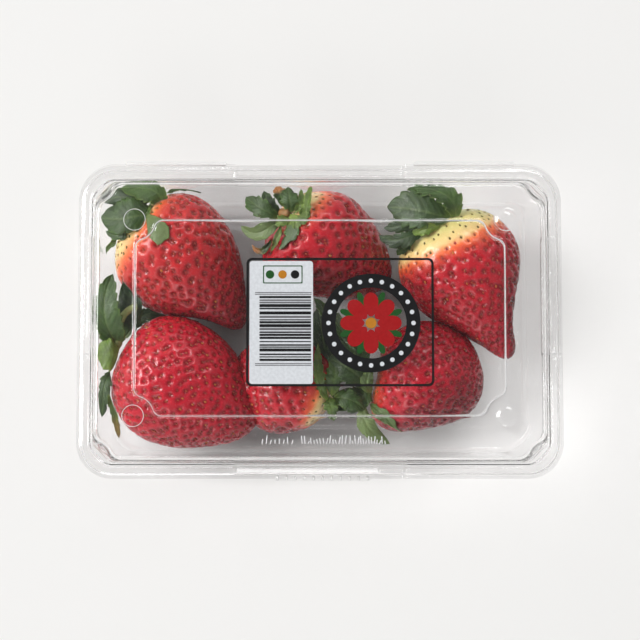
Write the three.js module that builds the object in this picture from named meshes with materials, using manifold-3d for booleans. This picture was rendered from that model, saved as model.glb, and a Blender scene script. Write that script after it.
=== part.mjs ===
// A shut clear clamshell punnet with six large strawberries lying in one layer.
// Millimetres, +Z up. X runs along the long side, the hinge is at the back (+Y), and the
// origin is under the middle of the pack, on the surface that it stands on.

import * as THREE from 'three';
import { mergeVertices } from 'three/addons/utils/BufferGeometryUtils.js';
import Module from 'manifold-3d';

const wasm = await Module();
wasm.setup();

// Driving sizes of the clear pack
const PACK_HALF_X = 93.5;
const PACK_HALF_Y = 61;
const RIM_CORNER = 14;
const SHEET = 0.6;
const TRAY_RIM_Z = 32.6;
const LID_RIM_Z = 33.8;
const LID_TOP_Z = 46.2;
const PANEL_RISE = 1.4;
const FLOOR_Z = 2.2;

// The hinge: a bead along the back edge, in two lengths beside the middle vent
const HINGE_Y = 61.05;
const HINGE_Z = 32.9;
const HINGE_BEAD_R = 0.75;
const HINGE_INNER_X = 36;
const HINGE_OUTER_X = 76;
const LID_BACK_CLEARANCE = 1;

// The stretch in the middle of each side where the rim opens into a vent
const VENT_HALF_X = 31.6;
const VENT_LOW_Y = -12.2;
const VENT_HIGH_Y = 30.5;
const VENT_RAMP = 2;
const VENT_DROP = 2.4;

// The four round features at the lid's corners: holes on the left, domes on the right
const BUTTON_X = 70.6;
const BUTTON_Y = 37.3;
const BUTTON_R = 4;
const DOME_RISE = 1.5;
const DOME_OVERLAP = 0.4;
const DOME_SINK = 0.1;

// The opening tab in the middle of the front edge
const TAB_MIDDLE_X = 1;
const TAB_WIDTH = 38;
const TAB_REACH = 0.8;
const TAB_DEPTH = 2.6;
const GRIP_RIBS = 11;
const GRIP_RIB_SIZE = [0.8, 1.1, 0.5];

// The film label on the lid's raised panel
const LABEL_SIZE = [71, 48.8];
const LABEL_MIDDLE = [7.6, -1.95];
const LABEL_CORNER = 2.2;
const LABEL_THICK = 0.3;
const LABEL_GAP = 0.05;

// The fruit
const FRUIT_REST_Z = FLOOR_Z + 0.35;
const FRUIT_ROUND = 20;
const FRUIT_ALONG = 14;
const CALYX_DIMPLE = 2.5;
const CALYX_DIMPLE_SPREAD = 0.42;
const LEAF_THICK = 0.7;
const LEAF_GAP = 0.35;
const LEAF_HUB = 5;
const LEAF_RIPPLE = 0.5;
const LEAF_RIPPLES = 5;
const LEAF_BLEND = 18;
const CROWN_SEAT = 1.3;
const CROWN_ROUND = 33;
const CROWN_RINGS = [0.2, 0.46, 0.74, 1];

// Each fruit: middle on plan, heading of its axis from leaves to tip on plan, tip tilt,
// length, width, height, how much the tip end narrows, and bulges or hollows as
// [towards tip, to the left of the heading, up, gain in mm, spread in radians].
// Each leaf: [turn round the axis from the fruit's left side towards its top, length,
// half spread in degrees, degrees that it curls back by its tip].
const FRUITS = [
  {
    middle: [-51.3, 21.3], heading: -49.4, tilt: -4, size: [63.6, 45.4, 39.5], taper: 0.38, lift: 0.2,
    bulges: [
      [-0.4, -0.9, 0, 2.8, 0.6], [-0.62, 0.78, 0, 0.8, 0.5], [-0.7, 0.7, 0, -1.2, 0.5],
      [-0.7, -0.7, 0, -1.9, 0.5], [0.7, 0.7, 0, -0.8, 0.5], [0.7, -0.7, 0, -5, 0.5],
      [0.2, -1, 0, 1.5, 0.45],
    ],
    leaves: [
      [14, 13, 28, 55], [62, 19, 34, 92], [114, 20, 34, 95],
      [166, 15, 30, 55], [232, 12, 28, -10], [304, 12, 30, -10],
    ],
  },
  {
    middle: [5.2, 29.2], heading: -26.5, tilt: -26, size: [55.7, 43.5, 37.5], taper: 0.33, lift: 0.8,
    bulges: [[-0.7, 0.7, 0, -3.3, 0.5], [-0.7, -0.7, 0, 2.6, 0.5], [0.7, 0.7, 0, -0.7, 0.5]],
    leaves: [
      [10, 14, 24, 40], [58, 13, 26, 80], [104, 12, 26, 60], [150, 16, 24, 60],
      [196, 17, 26, 40], [262, 14, 28, 50], [320, 13, 28, 20],
    ],
  },
  {
    middle: [58.6, 15.2], heading: -64.7, tilt: 4, size: [62.7, 49, 39], taper: 0.41, lift: 0.2,
    bulges: [
      [0.48, 0.84, 0, -5, 0.34], [0.95, 0.2, 0, 3, 0.4], [-0.7, 0.7, 0, -1.2, 0.5],
      [-0.7, -0.7, 0, -1.2, 0.5], [0.7, 0.7, 0, -3, 0.5], [0.7, -0.7, 0, -3.7, 0.5],
    ],
    leaves: [
      [12, 12, 28, 50], [60, 17, 34, 88], [110, 20, 34, 88],
      [168, 17, 30, 40], [238, 12, 28, -10], [304, 12, 28, -10],
    ],
  },
  {
    middle: [-52.5, -25.8], heading: -27.9, tilt: 0, size: [61.8, 51.2, 40.5], taper: 0.26, lift: 0,
    bulges: [[0.78, -0.6, 0, 1.1, 0.42], [-0.7, -0.7, 0, -1.7, 0.5], [0.7, -0.7, 0, -1.2, 0.5]],
    leaves: [
      [14, 24, 24, 34], [62, 15, 28, 30], [110, 13, 28, 30], [158, 14, 26, 20],
      [196, 14, 24, 20], [262, 11, 28, 0], [318, 11, 26, 0],
    ],
  },
  {
    middle: [-14, -24.2], heading: 152, tilt: -6, size: [42.8, 40.8, 35], taper: 0.12, lift: 0.2,
    bulges: [[-0.7, 0.7, 0, -3, 0.5], [0.7, 0.7, 0, 1, 0.5]],
    leaves: [
      [10, 14, 28, 60], [64, 15, 30, 80], [116, 15, 30, 80],
      [170, 17, 28, 60], [228, 12, 28, -10], [296, 12, 28, -10],
    ],
  },
  {
    middle: [42.1, -20.8], heading: -2.9, tilt: 2, size: [43.8, 41.8, 37.5], taper: 0.21, lift: 0.2,
    bulges: [
      [-0.7, 0.7, 0, -1.3, 0.5], [-0.7, -0.7, 0, 4.8, 0.5],
      [0.7, -0.7, 0, 2.2, 0.5], [0.5, 0.85, 0, 2.4, 0.5],
    ],
    leaves: [
      [14, 24, 30, 50], [60, 18, 30, 80], [112, 17, 28, 80],
      [172, 21, 28, 30], [232, 12, 28, -10], [300, 12, 28, -10],
    ],
  },
];

// A low mound under the fruit joins them into one heap
const MOUND_HALF = [54, 30];
const MOUND_TOP_Z = 13;

// The room that the leaves keep to: rows of [inset, height] inside the tray and the lid
const TRAY_ROOM = [[13, 2.6], [9, 31], [9, 37]];
const LID_ROOM = [[11.4, 30], [11.4, 45]];

// Colours as the part shows them
const COLOURS = {
  tray: 0xdfe3e6,
  lid: 0xe9edf0,
  label: 0xf2f3f5,
  strawberries: 0xb3161c,
  leaf: 0x4c7a36,
};

const radians = THREE.MathUtils.degToRad;
const mix = THREE.MathUtils.lerp;

// Eases from 0 at one value to 1 at another
function ease(value, from, to) {
  return THREE.MathUtils.smoothstep(value, from, to);
}

// A geometry's triangles as a solid to join and cut, turned to face outwards
function toSolid(geometry) {
  const bare = geometry.clone();
  bare.deleteAttribute('normal');
  bare.deleteAttribute('uv');
  const merged = mergeVertices(bare, 1e-5);
  const points = merged.attributes.position.array;
  const faces = new Uint32Array(merged.index.array);
  if (signedVolume(points, faces) < 0) {
    for (let f = 0; f < faces.length; f += 3) {
      [faces[f], faces[f + 1]] = [faces[f + 1], faces[f]];
    }
  }
  return new wasm.Manifold(new wasm.Mesh({ numProp: 3, vertProperties: points, triVerts: faces }));
}

function signedVolume(points, faces) {
  const corner = [new THREE.Vector3(), new THREE.Vector3(), new THREE.Vector3()];
  let volume = 0;
  for (let f = 0; f < faces.length; f += 3) {
    corner.forEach((v, k) => v.fromArray(points, 3 * faces[f + k]));
    volume += corner[0].dot(corner[1].cross(corner[2])) / 6;
  }
  return volume;
}

// A solid back as a geometry
function toGeometry(solid) {
  const mesh = solid.getMesh();
  return indexed(Array.from(mesh.vertProperties), Array.from(mesh.triVerts));
}

function indexed(points, faces) {
  const geometry = new THREE.BufferGeometry();
  geometry.setAttribute('position', new THREE.Float32BufferAttribute(points, 3));
  geometry.setIndex(faces);
  geometry.computeVertexNormals();
  return geometry;
}

// The largest of the separate bodies that a cut leaves
function largestBody(solid) {
  const bodies = solid.decompose();
  return bodies.reduce((best, body) => (body.volume() > best.volume() ? body : best));
}

// One corner of an outline, anticlockwise from the right-hand side: a plain quarter circle
function roundCorner(x, y, radius, steps) {
  const points = [];
  for (let k = 0; k <= steps; k += 1) {
    const turn = (k / steps) * Math.PI / 2;
    points.push([x - radius + radius * Math.cos(turn), y - radius + radius * Math.sin(turn)]);
  }
  return points;
}

// One corner cut by a circle round the corner point, with a fillet into each side
function notchCorner(x, y, notch, fillet, steps) {
  const along = Math.sqrt((notch + fillet) ** 2 - fillet ** 2);
  const lean = Math.atan2(along, fillet);
  const third = steps / 3;
  const points = [];
  for (let k = 0; k <= steps; k += 1) {
    const part = Math.min(2, Math.floor(k / third));
    const t = k / third - part;
    const arc = [
      [x - fillet, y - along, fillet, t * lean],
      [x, y, notch, Math.PI + mix(lean, Math.PI / 2 - lean, t)],
      [x - along, y - fillet, fillet, mix(Math.PI / 2 - lean, Math.PI / 2, t)],
    ][part];
    points.push([arc[0] + arc[2] * Math.cos(arc[3]), arc[1] + arc[2] * Math.sin(arc[3])]);
  }
  return points;
}

const CORNER_STEPS = 9;
const CORNER_ROOM = 12.5;
const WALL_TOP_INSET = 7;
const WALL_TOP_CORNER = 12;
const WALL_CORNER_SHRINK = 0.5;
const TRAY_LEAST_CORNER = 5;
const LID_LEAST_CORNER = 4;

// The lid's notched corners: the circle round the corner point and its fillets, at the top
// edge and round the panel, and the insets between which the round corner gives way
const NOTCH_R = [7.1, 7.7];
const NOTCH_FILLET = [4.5, 3.5];
const NOTCH_STARTS = [4.6, 8.6];
const PANEL_STARTS = [9, 23];
const LID_MIDDLE_Y = [-0.5, -1, -0.3];

// A closed outline at one inset from the rim, as stations {x, y, vent}, anticlockwise.
// The corner points of the four quadrants mirror one another, and each side has four
// stations where its vent starts and ends; vent is 1 inside that stretch. On a short
// outline they are drawn together so that they stay clear of its corners.
function outline(halfX, halfY, middleY, corner) {
  const stations = [];
  const squeeze = Math.min(1, (halfY - CORNER_ROOM) / (VENT_HIGH_Y + VENT_RAMP));
  const side = (axis, sign, low, high) => {
    const marks = [low - VENT_RAMP, low, high, high + VENT_RAMP].map((mark) => mark * squeeze);
    const ordered = sign > 0 ? marks : marks.reverse();
    ordered.forEach((mark, k) => {
      const vent = k === 1 || k === 2 ? 1 : 0;
      if (axis === 'y') stations.push({ x: sign * halfX, y: mark, vent });
      else stations.push({ x: mark, y: -sign * halfY + middleY, vent });
    });
  };
  const quadrant = (signX, signY) => {
    const points = corner.map(([x, y]) => ({ x: signX * x, y: signY * y + middleY, vent: 0 }));
    stations.push(...(signX * signY > 0 ? points : points.reverse()));
  };
  quadrant(1, 1);
  side('x', -1, -VENT_HALF_X, VENT_HALF_X);
  quadrant(-1, 1);
  side('y', -1, VENT_LOW_Y, VENT_HIGH_Y);
  quadrant(-1, -1);
  side('x', 1, -VENT_HALF_X, VENT_HALF_X);
  quadrant(1, -1);
  side('y', 1, VENT_LOW_Y, VENT_HIGH_Y);
  return stations;
}

// The tray's outline: rounded corners that stay wide down the wall
function trayOutline(inset) {
  const wall = WALL_TOP_CORNER - WALL_CORNER_SHRINK * (inset - WALL_TOP_INSET);
  const brim = mix(RIM_CORNER, WALL_TOP_CORNER, inset / WALL_TOP_INSET);
  const radius = inset < WALL_TOP_INSET ? brim : Math.max(TRAY_LEAST_CORNER, wall);
  const x = PACK_HALF_X - inset;
  const y = PACK_HALF_Y - inset;
  return outline(x, y, 0, roundCorner(x, y, radius, CORNER_STEPS));
}

// The lid's outline: round at the rim, notched at the top edge and round the raised panel
function lidOutline(inset) {
  const x = PACK_HALF_X - inset;
  const y = PACK_HALF_Y - LID_BACK_CLEARANCE / 2 - inset;
  const inward = ease(inset, ...PANEL_STARTS);
  const [rimMiddle, edgeMiddle, panelMiddle] = LID_MIDDLE_Y;
  const middleY = mix(mix(rimMiddle, edgeMiddle, ease(inset, 1, 8)), panelMiddle, inward);
  const round = roundCorner(x, y, Math.max(LID_LEAST_CORNER, RIM_CORNER - inset), CORNER_STEPS);
  const notched = notchCorner(x, y, mix(...NOTCH_R, inward), mix(...NOTCH_FILLET, inward), CORNER_STEPS);
  const cut = ease(inset, ...NOTCH_STARTS);
  const corner = round.map(([px, py], k) => [mix(px, notched[k][0], cut), mix(py, notched[k][1], cut)]);
  return outline(x, y, middleY, corner);
}

// The second face of a sheet: each row of the profile moved by the sheet's thickness
function offsetRows(rows, thick) {
  const normal = (a, b) => {
    const run = Math.hypot(b[0] - a[0], b[1] - a[1]);
    return [(b[1] - a[1]) / run, -(b[0] - a[0]) / run];
  };
  return rows.map((row, k) => {
    const before = normal(rows[Math.max(0, k - 1)], rows[Math.max(1, k)]);
    const after = normal(rows[Math.min(rows.length - 2, k)], rows[Math.min(rows.length - 1, k + 1)]);
    const share = thick / (1 + before[0] * after[0] + before[1] * after[1]);
    const move = [share * (before[0] + after[0]), share * (before[1] + after[1])];
    return [Math.max(0, row[0] + move[0]), row[1] + move[1], row[2]];
  });
}

// A formed sheet from rows of [inset, height, height added in the vents]. The rows give
// its upper face from the rim to the middle, and the lower face lies one thickness under.
function formedSheet(rows, outlineAt) {
  const points = [];
  const faces = [];
  const rings = (list) => list.map(([inset, height, ventRise]) => {
    const first = points.length / 3;
    const stations = outlineAt(inset);
    stations.forEach(({ x, y, vent }) => points.push(x, y, height + vent * ventRise));
    return { first, count: stations.length, height };
  });
  const strip = (a, b) => {
    for (let k = 0; k < a.count; k += 1) {
      const next = (k + 1) % a.count;
      faces.push(a.first + k, a.first + next, b.first + next);
      faces.push(a.first + k, b.first + next, b.first + k);
    }
  };
  const cap = (ring, up) => {
    const hub = points.length / 3;
    points.push(0, 0, ring.height);
    for (let k = 0; k < ring.count; k += 1) {
      const edge = [ring.first + k, ring.first + (k + 1) % ring.count];
      faces.push(...(up ? edge : edge.reverse()), hub);
    }
  };
  const upper = rings(rows);
  const lower = rings(offsetRows(rows, SHEET));
  upper.slice(1).forEach((ring, k) => strip(upper[k], ring));
  lower.slice(1).forEach((ring, k) => strip(ring, lower[k]));
  strip(lower[0], upper[0]);
  cap(upper.at(-1), true);
  cap(lower.at(-1), false);
  return toSolid(indexed(points, faces));
}

function upright(radius, lowZ, highZ, x, y, sides) {
  const drum = new THREE.CylinderGeometry(radius, radius, highZ - lowZ, sides);
  drum.rotateX(Math.PI / 2);
  drum.translate(x, y, (lowZ + highZ) / 2);
  return toSolid(drum);
}

// Tray: rim with a raised bead and four lowered vents, drafted wall, foot ring, floor
function makeTray() {
  const rim = TRAY_RIM_Z;
  const rows = [
    [0, rim, -VENT_DROP],
    [1.6, rim, -VENT_DROP],
    [2.1, rim + 0.6, -VENT_DROP - 0.6],
    [4.1, rim + 0.6, -VENT_DROP - 0.6],
    [4.6, rim, -VENT_DROP],
    [7, rim, -VENT_DROP],
    [7.5, rim - 1.3, -VENT_DROP + 0.3],
    [10.6, FLOOR_Z + 1.4, 0],
    [11.4, SHEET + 0.6, 0],
    [12.4, SHEET, 0],
    [19.6, SHEET, 0],
    [21.4, FLOOR_Z, 0],
  ];
  let tray = formedSheet(rows, trayOutline);
  for (const side of [-1, 1]) {
    const length = HINGE_OUTER_X - HINGE_INNER_X;
    const bead = new THREE.CylinderGeometry(HINGE_BEAD_R, HINGE_BEAD_R, length, 12);
    bead.rotateZ(Math.PI / 2);
    bead.translate(side * (HINGE_INNER_X + length / 2), HINGE_Y, HINGE_Z);
    tray = tray.add(toSolid(bead));
  }
  return tray;
}

// A hollow dome over a round hole, turned from its half section
function makeDome(x, y) {
  const section = [];
  const steps = 3;
  const quarter = (radius, rise, foot, k) => {
    const turn = (k / steps) * Math.PI / 2;
    section.push(new THREE.Vector2(radius * Math.sin(turn), foot + rise * Math.cos(turn)));
  };
  const rimR = BUTTON_R + DOME_OVERLAP;
  for (let k = 0; k <= steps; k += 1) quarter(rimR, DOME_RISE, -DOME_SINK, k);
  for (let k = steps; k >= 0; k -= 1) quarter(rimR - SHEET, DOME_RISE, -DOME_SINK - SHEET, k);
  section[0].x = 0;
  section.at(-1).x = 0;
  const dome = new THREE.LatheGeometry(section, 16);
  dome.rotateX(Math.PI / 2);
  dome.translate(x, y, LID_TOP_Z);
  return toSolid(dome);
}

// Lid: rim, bead channel that arches over the vents, stepped wall, top with raised panel
function makeLid() {
  const rim = LID_RIM_Z;
  const rows = [
    [0, rim, 0],
    [1.4, rim, 0],
    [1.8, rim + 1.1, 0.2],
    [4.7, rim + 1.1, 1.6],
    [5.7, rim + 5, 0.6],
    [6.7, rim + 5, 1.4],
    [7.6, LID_TOP_Z - 1.7, 0],
    [8.3, LID_TOP_Z - 0.5, 0],
    [9.3, LID_TOP_Z, 0],
    [22.7, LID_TOP_Z, 0],
    [23.7, LID_TOP_Z + PANEL_RISE, 0],
  ];
  let lid = formedSheet(rows, lidOutline);
  for (const sideX of [-1, 1]) {
    for (const sideY of [-1, 1]) {
      const hole = upright(BUTTON_R, LID_TOP_Z - 2, LID_TOP_Z + 2, sideX * BUTTON_X, sideY * BUTTON_Y, 24);
      lid = lid.subtract(hole);
      if (sideX > 0) lid = lid.add(makeDome(sideX * BUTTON_X, sideY * BUTTON_Y));
    }
  }
  const tabY = -PACK_HALF_Y - TAB_REACH + TAB_DEPTH / 2;
  const tab = new THREE.BoxGeometry(TAB_WIDTH, TAB_DEPTH, SHEET);
  tab.translate(TAB_MIDDLE_X, tabY, LID_RIM_Z - SHEET / 2);
  lid = lid.add(toSolid(tab));
  const pitch = TAB_WIDTH / GRIP_RIBS;
  for (let k = 0; k < GRIP_RIBS; k += 1) {
    const rib = new THREE.BoxGeometry(...GRIP_RIB_SIZE);
    rib.translate(TAB_MIDDLE_X + (k - (GRIP_RIBS - 1) / 2) * pitch, tabY - 0.5, LID_RIM_Z);
    lid = lid.add(toSolid(rib));
  }
  return lid;
}

// Label: a thin sheet with round corners
function makeLabel() {
  const [w, h] = LABEL_SIZE;
  const shape = new THREE.Shape();
  const r = LABEL_CORNER;
  shape.moveTo(w / 2, h / 2 - r);
  shape.absarc(w / 2 - r, h / 2 - r, r, 0, Math.PI / 2);
  shape.absarc(-w / 2 + r, h / 2 - r, r, Math.PI / 2, Math.PI);
  shape.absarc(-w / 2 + r, -h / 2 + r, r, Math.PI, 1.5 * Math.PI);
  shape.absarc(w / 2 - r, -h / 2 + r, r, 1.5 * Math.PI, 2 * Math.PI);
  const press = { depth: LABEL_THICK, bevelEnabled: false, curveSegments: 3 };
  const geometry = new THREE.ExtrudeGeometry(shape, press);
  geometry.translate(...LABEL_MIDDLE, LID_TOP_Z + PANEL_RISE + LABEL_GAP);
  return toSolid(geometry);
}

// The three directions of a fruit: its axis towards the tip, its left side and its top
function fruitAxes(fruit) {
  const turn = radians(fruit.heading);
  const tilt = radians(fruit.tilt);
  const flat = Math.cos(tilt);
  const along = new THREE.Vector3(flat * Math.cos(turn), flat * Math.sin(turn), Math.sin(tilt));
  const left = new THREE.Vector3(-Math.sin(turn), Math.cos(turn), 0);
  return [along, left, new THREE.Vector3().crossVectors(along, left)];
}

// A point of a fruit in its own directions. polar runs from 0 at the leaves to pi at the
// tip. The radius goes as sin(polar) * (1 + taper * cos(polar)), the leaf end is dimpled,
// and each bulge adds a bell-shaped rise about its direction. grow moves the skin out.
function fruitPoint(fruit, polar, round, grow) {
  const [length, width, height] = fruit.size.map((size) => size / 2);
  const side = Math.sin(polar);
  const c = fruit.taper;
  const widest = (Math.sqrt(1 + 8 * c * c) - 1) / (4 * c);
  const peak = Math.sqrt(1 - widest * widest) * (1 + c * widest);
  const radius = side * (1 + c * Math.cos(polar)) / peak;
  const dimple = CALYX_DIMPLE * Math.exp(-((polar / CALYX_DIMPLE_SPREAD) ** 2));
  const point = new THREE.Vector3(
    -length * Math.cos(polar) + dimple,
    width * radius * Math.cos(round),
    height * radius * Math.sin(round),
  );
  const out = new THREE.Vector3(-Math.cos(polar), side * Math.cos(round), side * Math.sin(round));
  let rise = grow;
  for (const [tip, left, up, gain, spread] of fruit.bulges) {
    const gap = out.angleTo(new THREE.Vector3(tip, left, up));
    rise += gain * Math.exp(-((gap / spread) ** 2));
  }
  return point.addScaledVector(out, rise);
}

// How far a fruit's middle is above the base, so that its lowest point rests on the floor
function fruitMiddleZ(fruit) {
  const axes = fruitAxes(fruit);
  let lowest = 0;
  for (let i = 1; i < FRUIT_ALONG; i += 1) {
    const p = fruitPoint(fruit, (i / FRUIT_ALONG) * Math.PI, -Math.PI / 2, 0);
    lowest = Math.min(lowest, p.x * axes[0].z + p.y * axes[1].z + p.z * axes[2].z);
  }
  return FRUIT_REST_Z + fruit.lift - lowest;
}

function placed(fruit, local) {
  const [along, left, up] = fruitAxes(fruit);
  return new THREE.Vector3(...fruit.middle, fruitMiddleZ(fruit))
    .addScaledVector(along, local.x)
    .addScaledVector(left, local.y)
    .addScaledVector(up, local.z);
}

// One fruit as a closed surface of rows from the leaf end to the tip
function makeFruit(fruit, grow) {
  const points = [];
  const faces = [];
  const add = (polar, round) => {
    const place = placed(fruit, fruitPoint(fruit, polar, round, grow));
    points.push(...place.toArray());
  };
  add(0, 0);
  for (let i = 1; i < FRUIT_ALONG; i += 1) {
    for (let k = 0; k < FRUIT_ROUND; k += 1) {
      add((i / FRUIT_ALONG) * Math.PI, ((k + (i % 2) / 2) / FRUIT_ROUND) * 2 * Math.PI);
    }
  }
  add(Math.PI, 0);
  const last = points.length / 3 - 1;
  const at = (row, k) => 1 + row * FRUIT_ROUND + (k % FRUIT_ROUND);
  for (let k = 0; k < FRUIT_ROUND; k += 1) {
    faces.push(0, at(0, k), at(0, k + 1));
    faces.push(last, at(FRUIT_ALONG - 2, k + 1), at(FRUIT_ALONG - 2, k));
    for (let row = 0; row < FRUIT_ALONG - 2; row += 1) {
      const shift = row % 2;
      faces.push(at(row, k), at(row + 1, k + 1 - shift), at(row, k + 1));
      faces.push(at(row, k + shift), at(row + 1, k), at(row + 1, k + 1));
    }
  }
  return toSolid(indexed(points, faces));
}

// The low mound that the fruit lie round: a flattened egg-like body with a soft edge
function makeMound() {
  const mound = new THREE.SphereGeometry(1, 20, 8);
  const halfZ = (MOUND_TOP_Z - FRUIT_REST_Z) / 2;
  mound.rotateX(Math.PI / 2);
  mound.scale(...MOUND_HALF, halfZ);
  mound.translate(0, 0, FRUIT_REST_Z + halfZ);
  return toSolid(mound);
}

// How far the crown reaches from the axis at one turn: a hub, and a lens for each leaf
function crownReach(fruit, turn) {
  let reach = LEAF_HUB;
  for (const [angle, length, spread] of fruit.leaves) {
    const off = Math.abs(THREE.MathUtils.euclideanModulo(turn - angle + 180, 360) - 180) / spread;
    if (off < 1) reach = Math.max(reach, mix(LEAF_HUB, length, (1 - off * off) ** 0.8));
  }
  return reach;
}

// How sharply the crown curls back at one turn, in degrees a millimetre of leaf, each
// leaf drawing its own part
function crownCurl(fruit, turn) {
  let sum = 0;
  let weights = 0;
  for (const [angle, length, , curl] of fruit.leaves) {
    const off = Math.abs(THREE.MathUtils.euclideanModulo(turn - angle + 180, 360) - 180);
    const weight = Math.exp(-((off / LEAF_BLEND) ** 2));
    sum += weight * (curl / length);
    weights += weight;
  }
  return sum / weights;
}

// A crown of leaves: a thin wavy star behind the leaf end, both faces on one grid. A leaf
// leaves the hub square to the axis and follows a circular arc backwards.
function makeCrown(fruit, grow) {
  const points = [];
  const faces = [];
  const back = CROWN_SEAT - fruit.size[0] / 2;
  const add = (share, turn, face) => {
    const run = share * crownReach(fruit, turn) + (share > 0 ? grow : 0);
    const bend = radians(crownCurl(fruit, turn)) || 1e-4;
    const off = (0.5 - face) * (LEAF_THICK + 2 * grow);
    const ripple = LEAF_RIPPLE * share * Math.sin(radians(LEAF_RIPPLES * turn));
    const r = (1 / bend + ripple + off) * Math.sin(bend * run);
    const axial = back - LEAF_THICK / 2 - 1 / bend + (1 / bend + ripple + off) * Math.cos(bend * run);
    const local = new THREE.Vector3(axial, r * Math.cos(radians(turn)), r * Math.sin(radians(turn)));
    points.push(...placed(fruit, local).toArray());
  };
  for (const face of [0, 1]) {
    add(0, 0, face);
    for (const share of CROWN_RINGS) {
      for (let k = 0; k < CROWN_ROUND; k += 1) add(share, (k * 360) / CROWN_ROUND, face);
    }
  }
  const perFace = 1 + CROWN_RINGS.length * CROWN_ROUND;
  const at = (face, ring, k) => face * perFace + 1 + ring * CROWN_ROUND + (k % CROWN_ROUND);
  for (let k = 0; k < CROWN_ROUND; k += 1) {
    const rim = CROWN_RINGS.length - 1;
    faces.push(0, at(0, 0, k), at(0, 0, k + 1));
    faces.push(perFace, at(1, 0, k + 1), at(1, 0, k));
    for (let ring = 0; ring < rim; ring += 1) {
      faces.push(at(0, ring, k), at(0, ring + 1, k), at(0, ring + 1, k + 1));
      faces.push(at(0, ring, k), at(0, ring + 1, k + 1), at(0, ring, k + 1));
      faces.push(at(1, ring, k), at(1, ring + 1, k + 1), at(1, ring + 1, k));
      faces.push(at(1, ring, k), at(1, ring, k + 1), at(1, ring + 1, k + 1));
    }
    faces.push(at(0, rim, k), at(1, rim, k), at(1, rim, k + 1));
    faces.push(at(0, rim, k), at(1, rim, k + 1), at(0, rim, k + 1));
  }
  return toSolid(indexed(points, faces));
}

// A solid stack of outlines from rows of [inset, height], lowest first
function stack(rows, outlineAt) {
  const points = [];
  const faces = [];
  const rings = rows.map(([inset, height]) => {
    const first = points.length / 3;
    outlineAt(inset).forEach(({ x, y }) => points.push(x, y, height));
    return first;
  });
  const count = points.length / 3 / rows.length;
  const hub = points.length / 3;
  points.push(0, 0, rows[0][1], 0, 0, rows.at(-1)[1]);
  for (let k = 0; k < count; k += 1) {
    const next = (k + 1) % count;
    faces.push(rings[0] + next, rings[0] + k, hub);
    faces.push(rings.at(-1) + k, rings.at(-1) + next, hub + 1);
    rings.slice(1).forEach((upper, row) => {
      const lower = rings[row];
      faces.push(lower + k, lower + next, upper + next);
      faces.push(lower + k, upper + next, upper + k);
    });
  }
  return toSolid(indexed(points, faces));
}

// All six fruit and the mound, joined into one heap
function makeHeap() {
  return FRUITS.reduce((heap, fruit) => heap.add(makeFruit(fruit, 0)), makeMound());
}

// The crowns, each kept off the walls and cut clear of the fruit and of those before it
function makeCrowns() {
  const blocked = FRUITS.reduce((sum, fruit) => sum.add(makeFruit(fruit, LEAF_GAP)), makeMound());
  const room = stack(TRAY_ROOM, trayOutline).add(stack(LID_ROOM, lidOutline));
  let taken = blocked;
  return FRUITS.map((fruit) => {
    const crown = largestBody(makeCrown(fruit, 0).intersect(room).subtract(taken));
    taken = taken.add(makeCrown(fruit, LEAF_GAP));
    return crown;
  });
}

const punnet = new THREE.Group();

function addPiece(name, solid, colour, roughness, opacity = 1) {
  const material = new THREE.MeshStandardMaterial({ color: colour, roughness, metalness: 0 });
  material.transparent = opacity < 1;
  material.opacity = opacity;
  const mesh = new THREE.Mesh(toGeometry(solid), material);
  mesh.name = name;
  punnet.add(mesh);
}

addPiece('tray', makeTray(), COLOURS.tray, 0.08, 0.3);
addPiece('lid', makeLid(), COLOURS.lid, 0.08, 0.3);
addPiece('label', makeLabel(), COLOURS.label, 0.35);
addPiece('strawberries', makeHeap(), COLOURS.strawberries, 0.3);
makeCrowns().forEach((crown, k) => addPiece(`leaf_crown_${k + 1}`, crown, COLOURS.leaf, 0.55));

export default punnet;
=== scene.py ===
"""Looks for a shut clear clamshell punnet of six strawberries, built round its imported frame.

Lengths inside the shape functions are millimetres, and put_mesh() turns them into metres.
X runs along the pack's long side, the hinge is at the back (+Y) and Z points up.
"""

import math

import bpy
import numpy as np
from bpy.props import FloatProperty, FloatVectorProperty, IntProperty, PointerProperty
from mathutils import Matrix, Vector


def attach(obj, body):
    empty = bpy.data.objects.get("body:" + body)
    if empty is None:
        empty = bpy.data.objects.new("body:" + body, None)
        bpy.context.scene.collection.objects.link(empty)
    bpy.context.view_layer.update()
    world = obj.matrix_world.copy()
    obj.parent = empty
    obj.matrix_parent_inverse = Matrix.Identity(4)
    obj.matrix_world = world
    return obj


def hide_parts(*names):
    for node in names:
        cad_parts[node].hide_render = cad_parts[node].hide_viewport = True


bl_info = {
    "name": "Strawberry punnet",
    "version": (1, 0, 0),
    "blender": (4, 5, 0),
    "location": "3D View > Sidebar > Punnet",
    "description": "Builds the clear pack, the fruit, the leaves and the label of a punnet",
    "category": "Add Mesh",
}

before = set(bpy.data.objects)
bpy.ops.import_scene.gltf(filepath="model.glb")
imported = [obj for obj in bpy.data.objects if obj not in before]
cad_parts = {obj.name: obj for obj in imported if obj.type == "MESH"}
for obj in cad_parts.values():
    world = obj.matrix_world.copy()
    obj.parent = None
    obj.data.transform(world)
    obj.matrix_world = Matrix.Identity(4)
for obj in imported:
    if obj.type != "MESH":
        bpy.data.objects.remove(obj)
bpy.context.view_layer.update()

MM = 0.001

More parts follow.
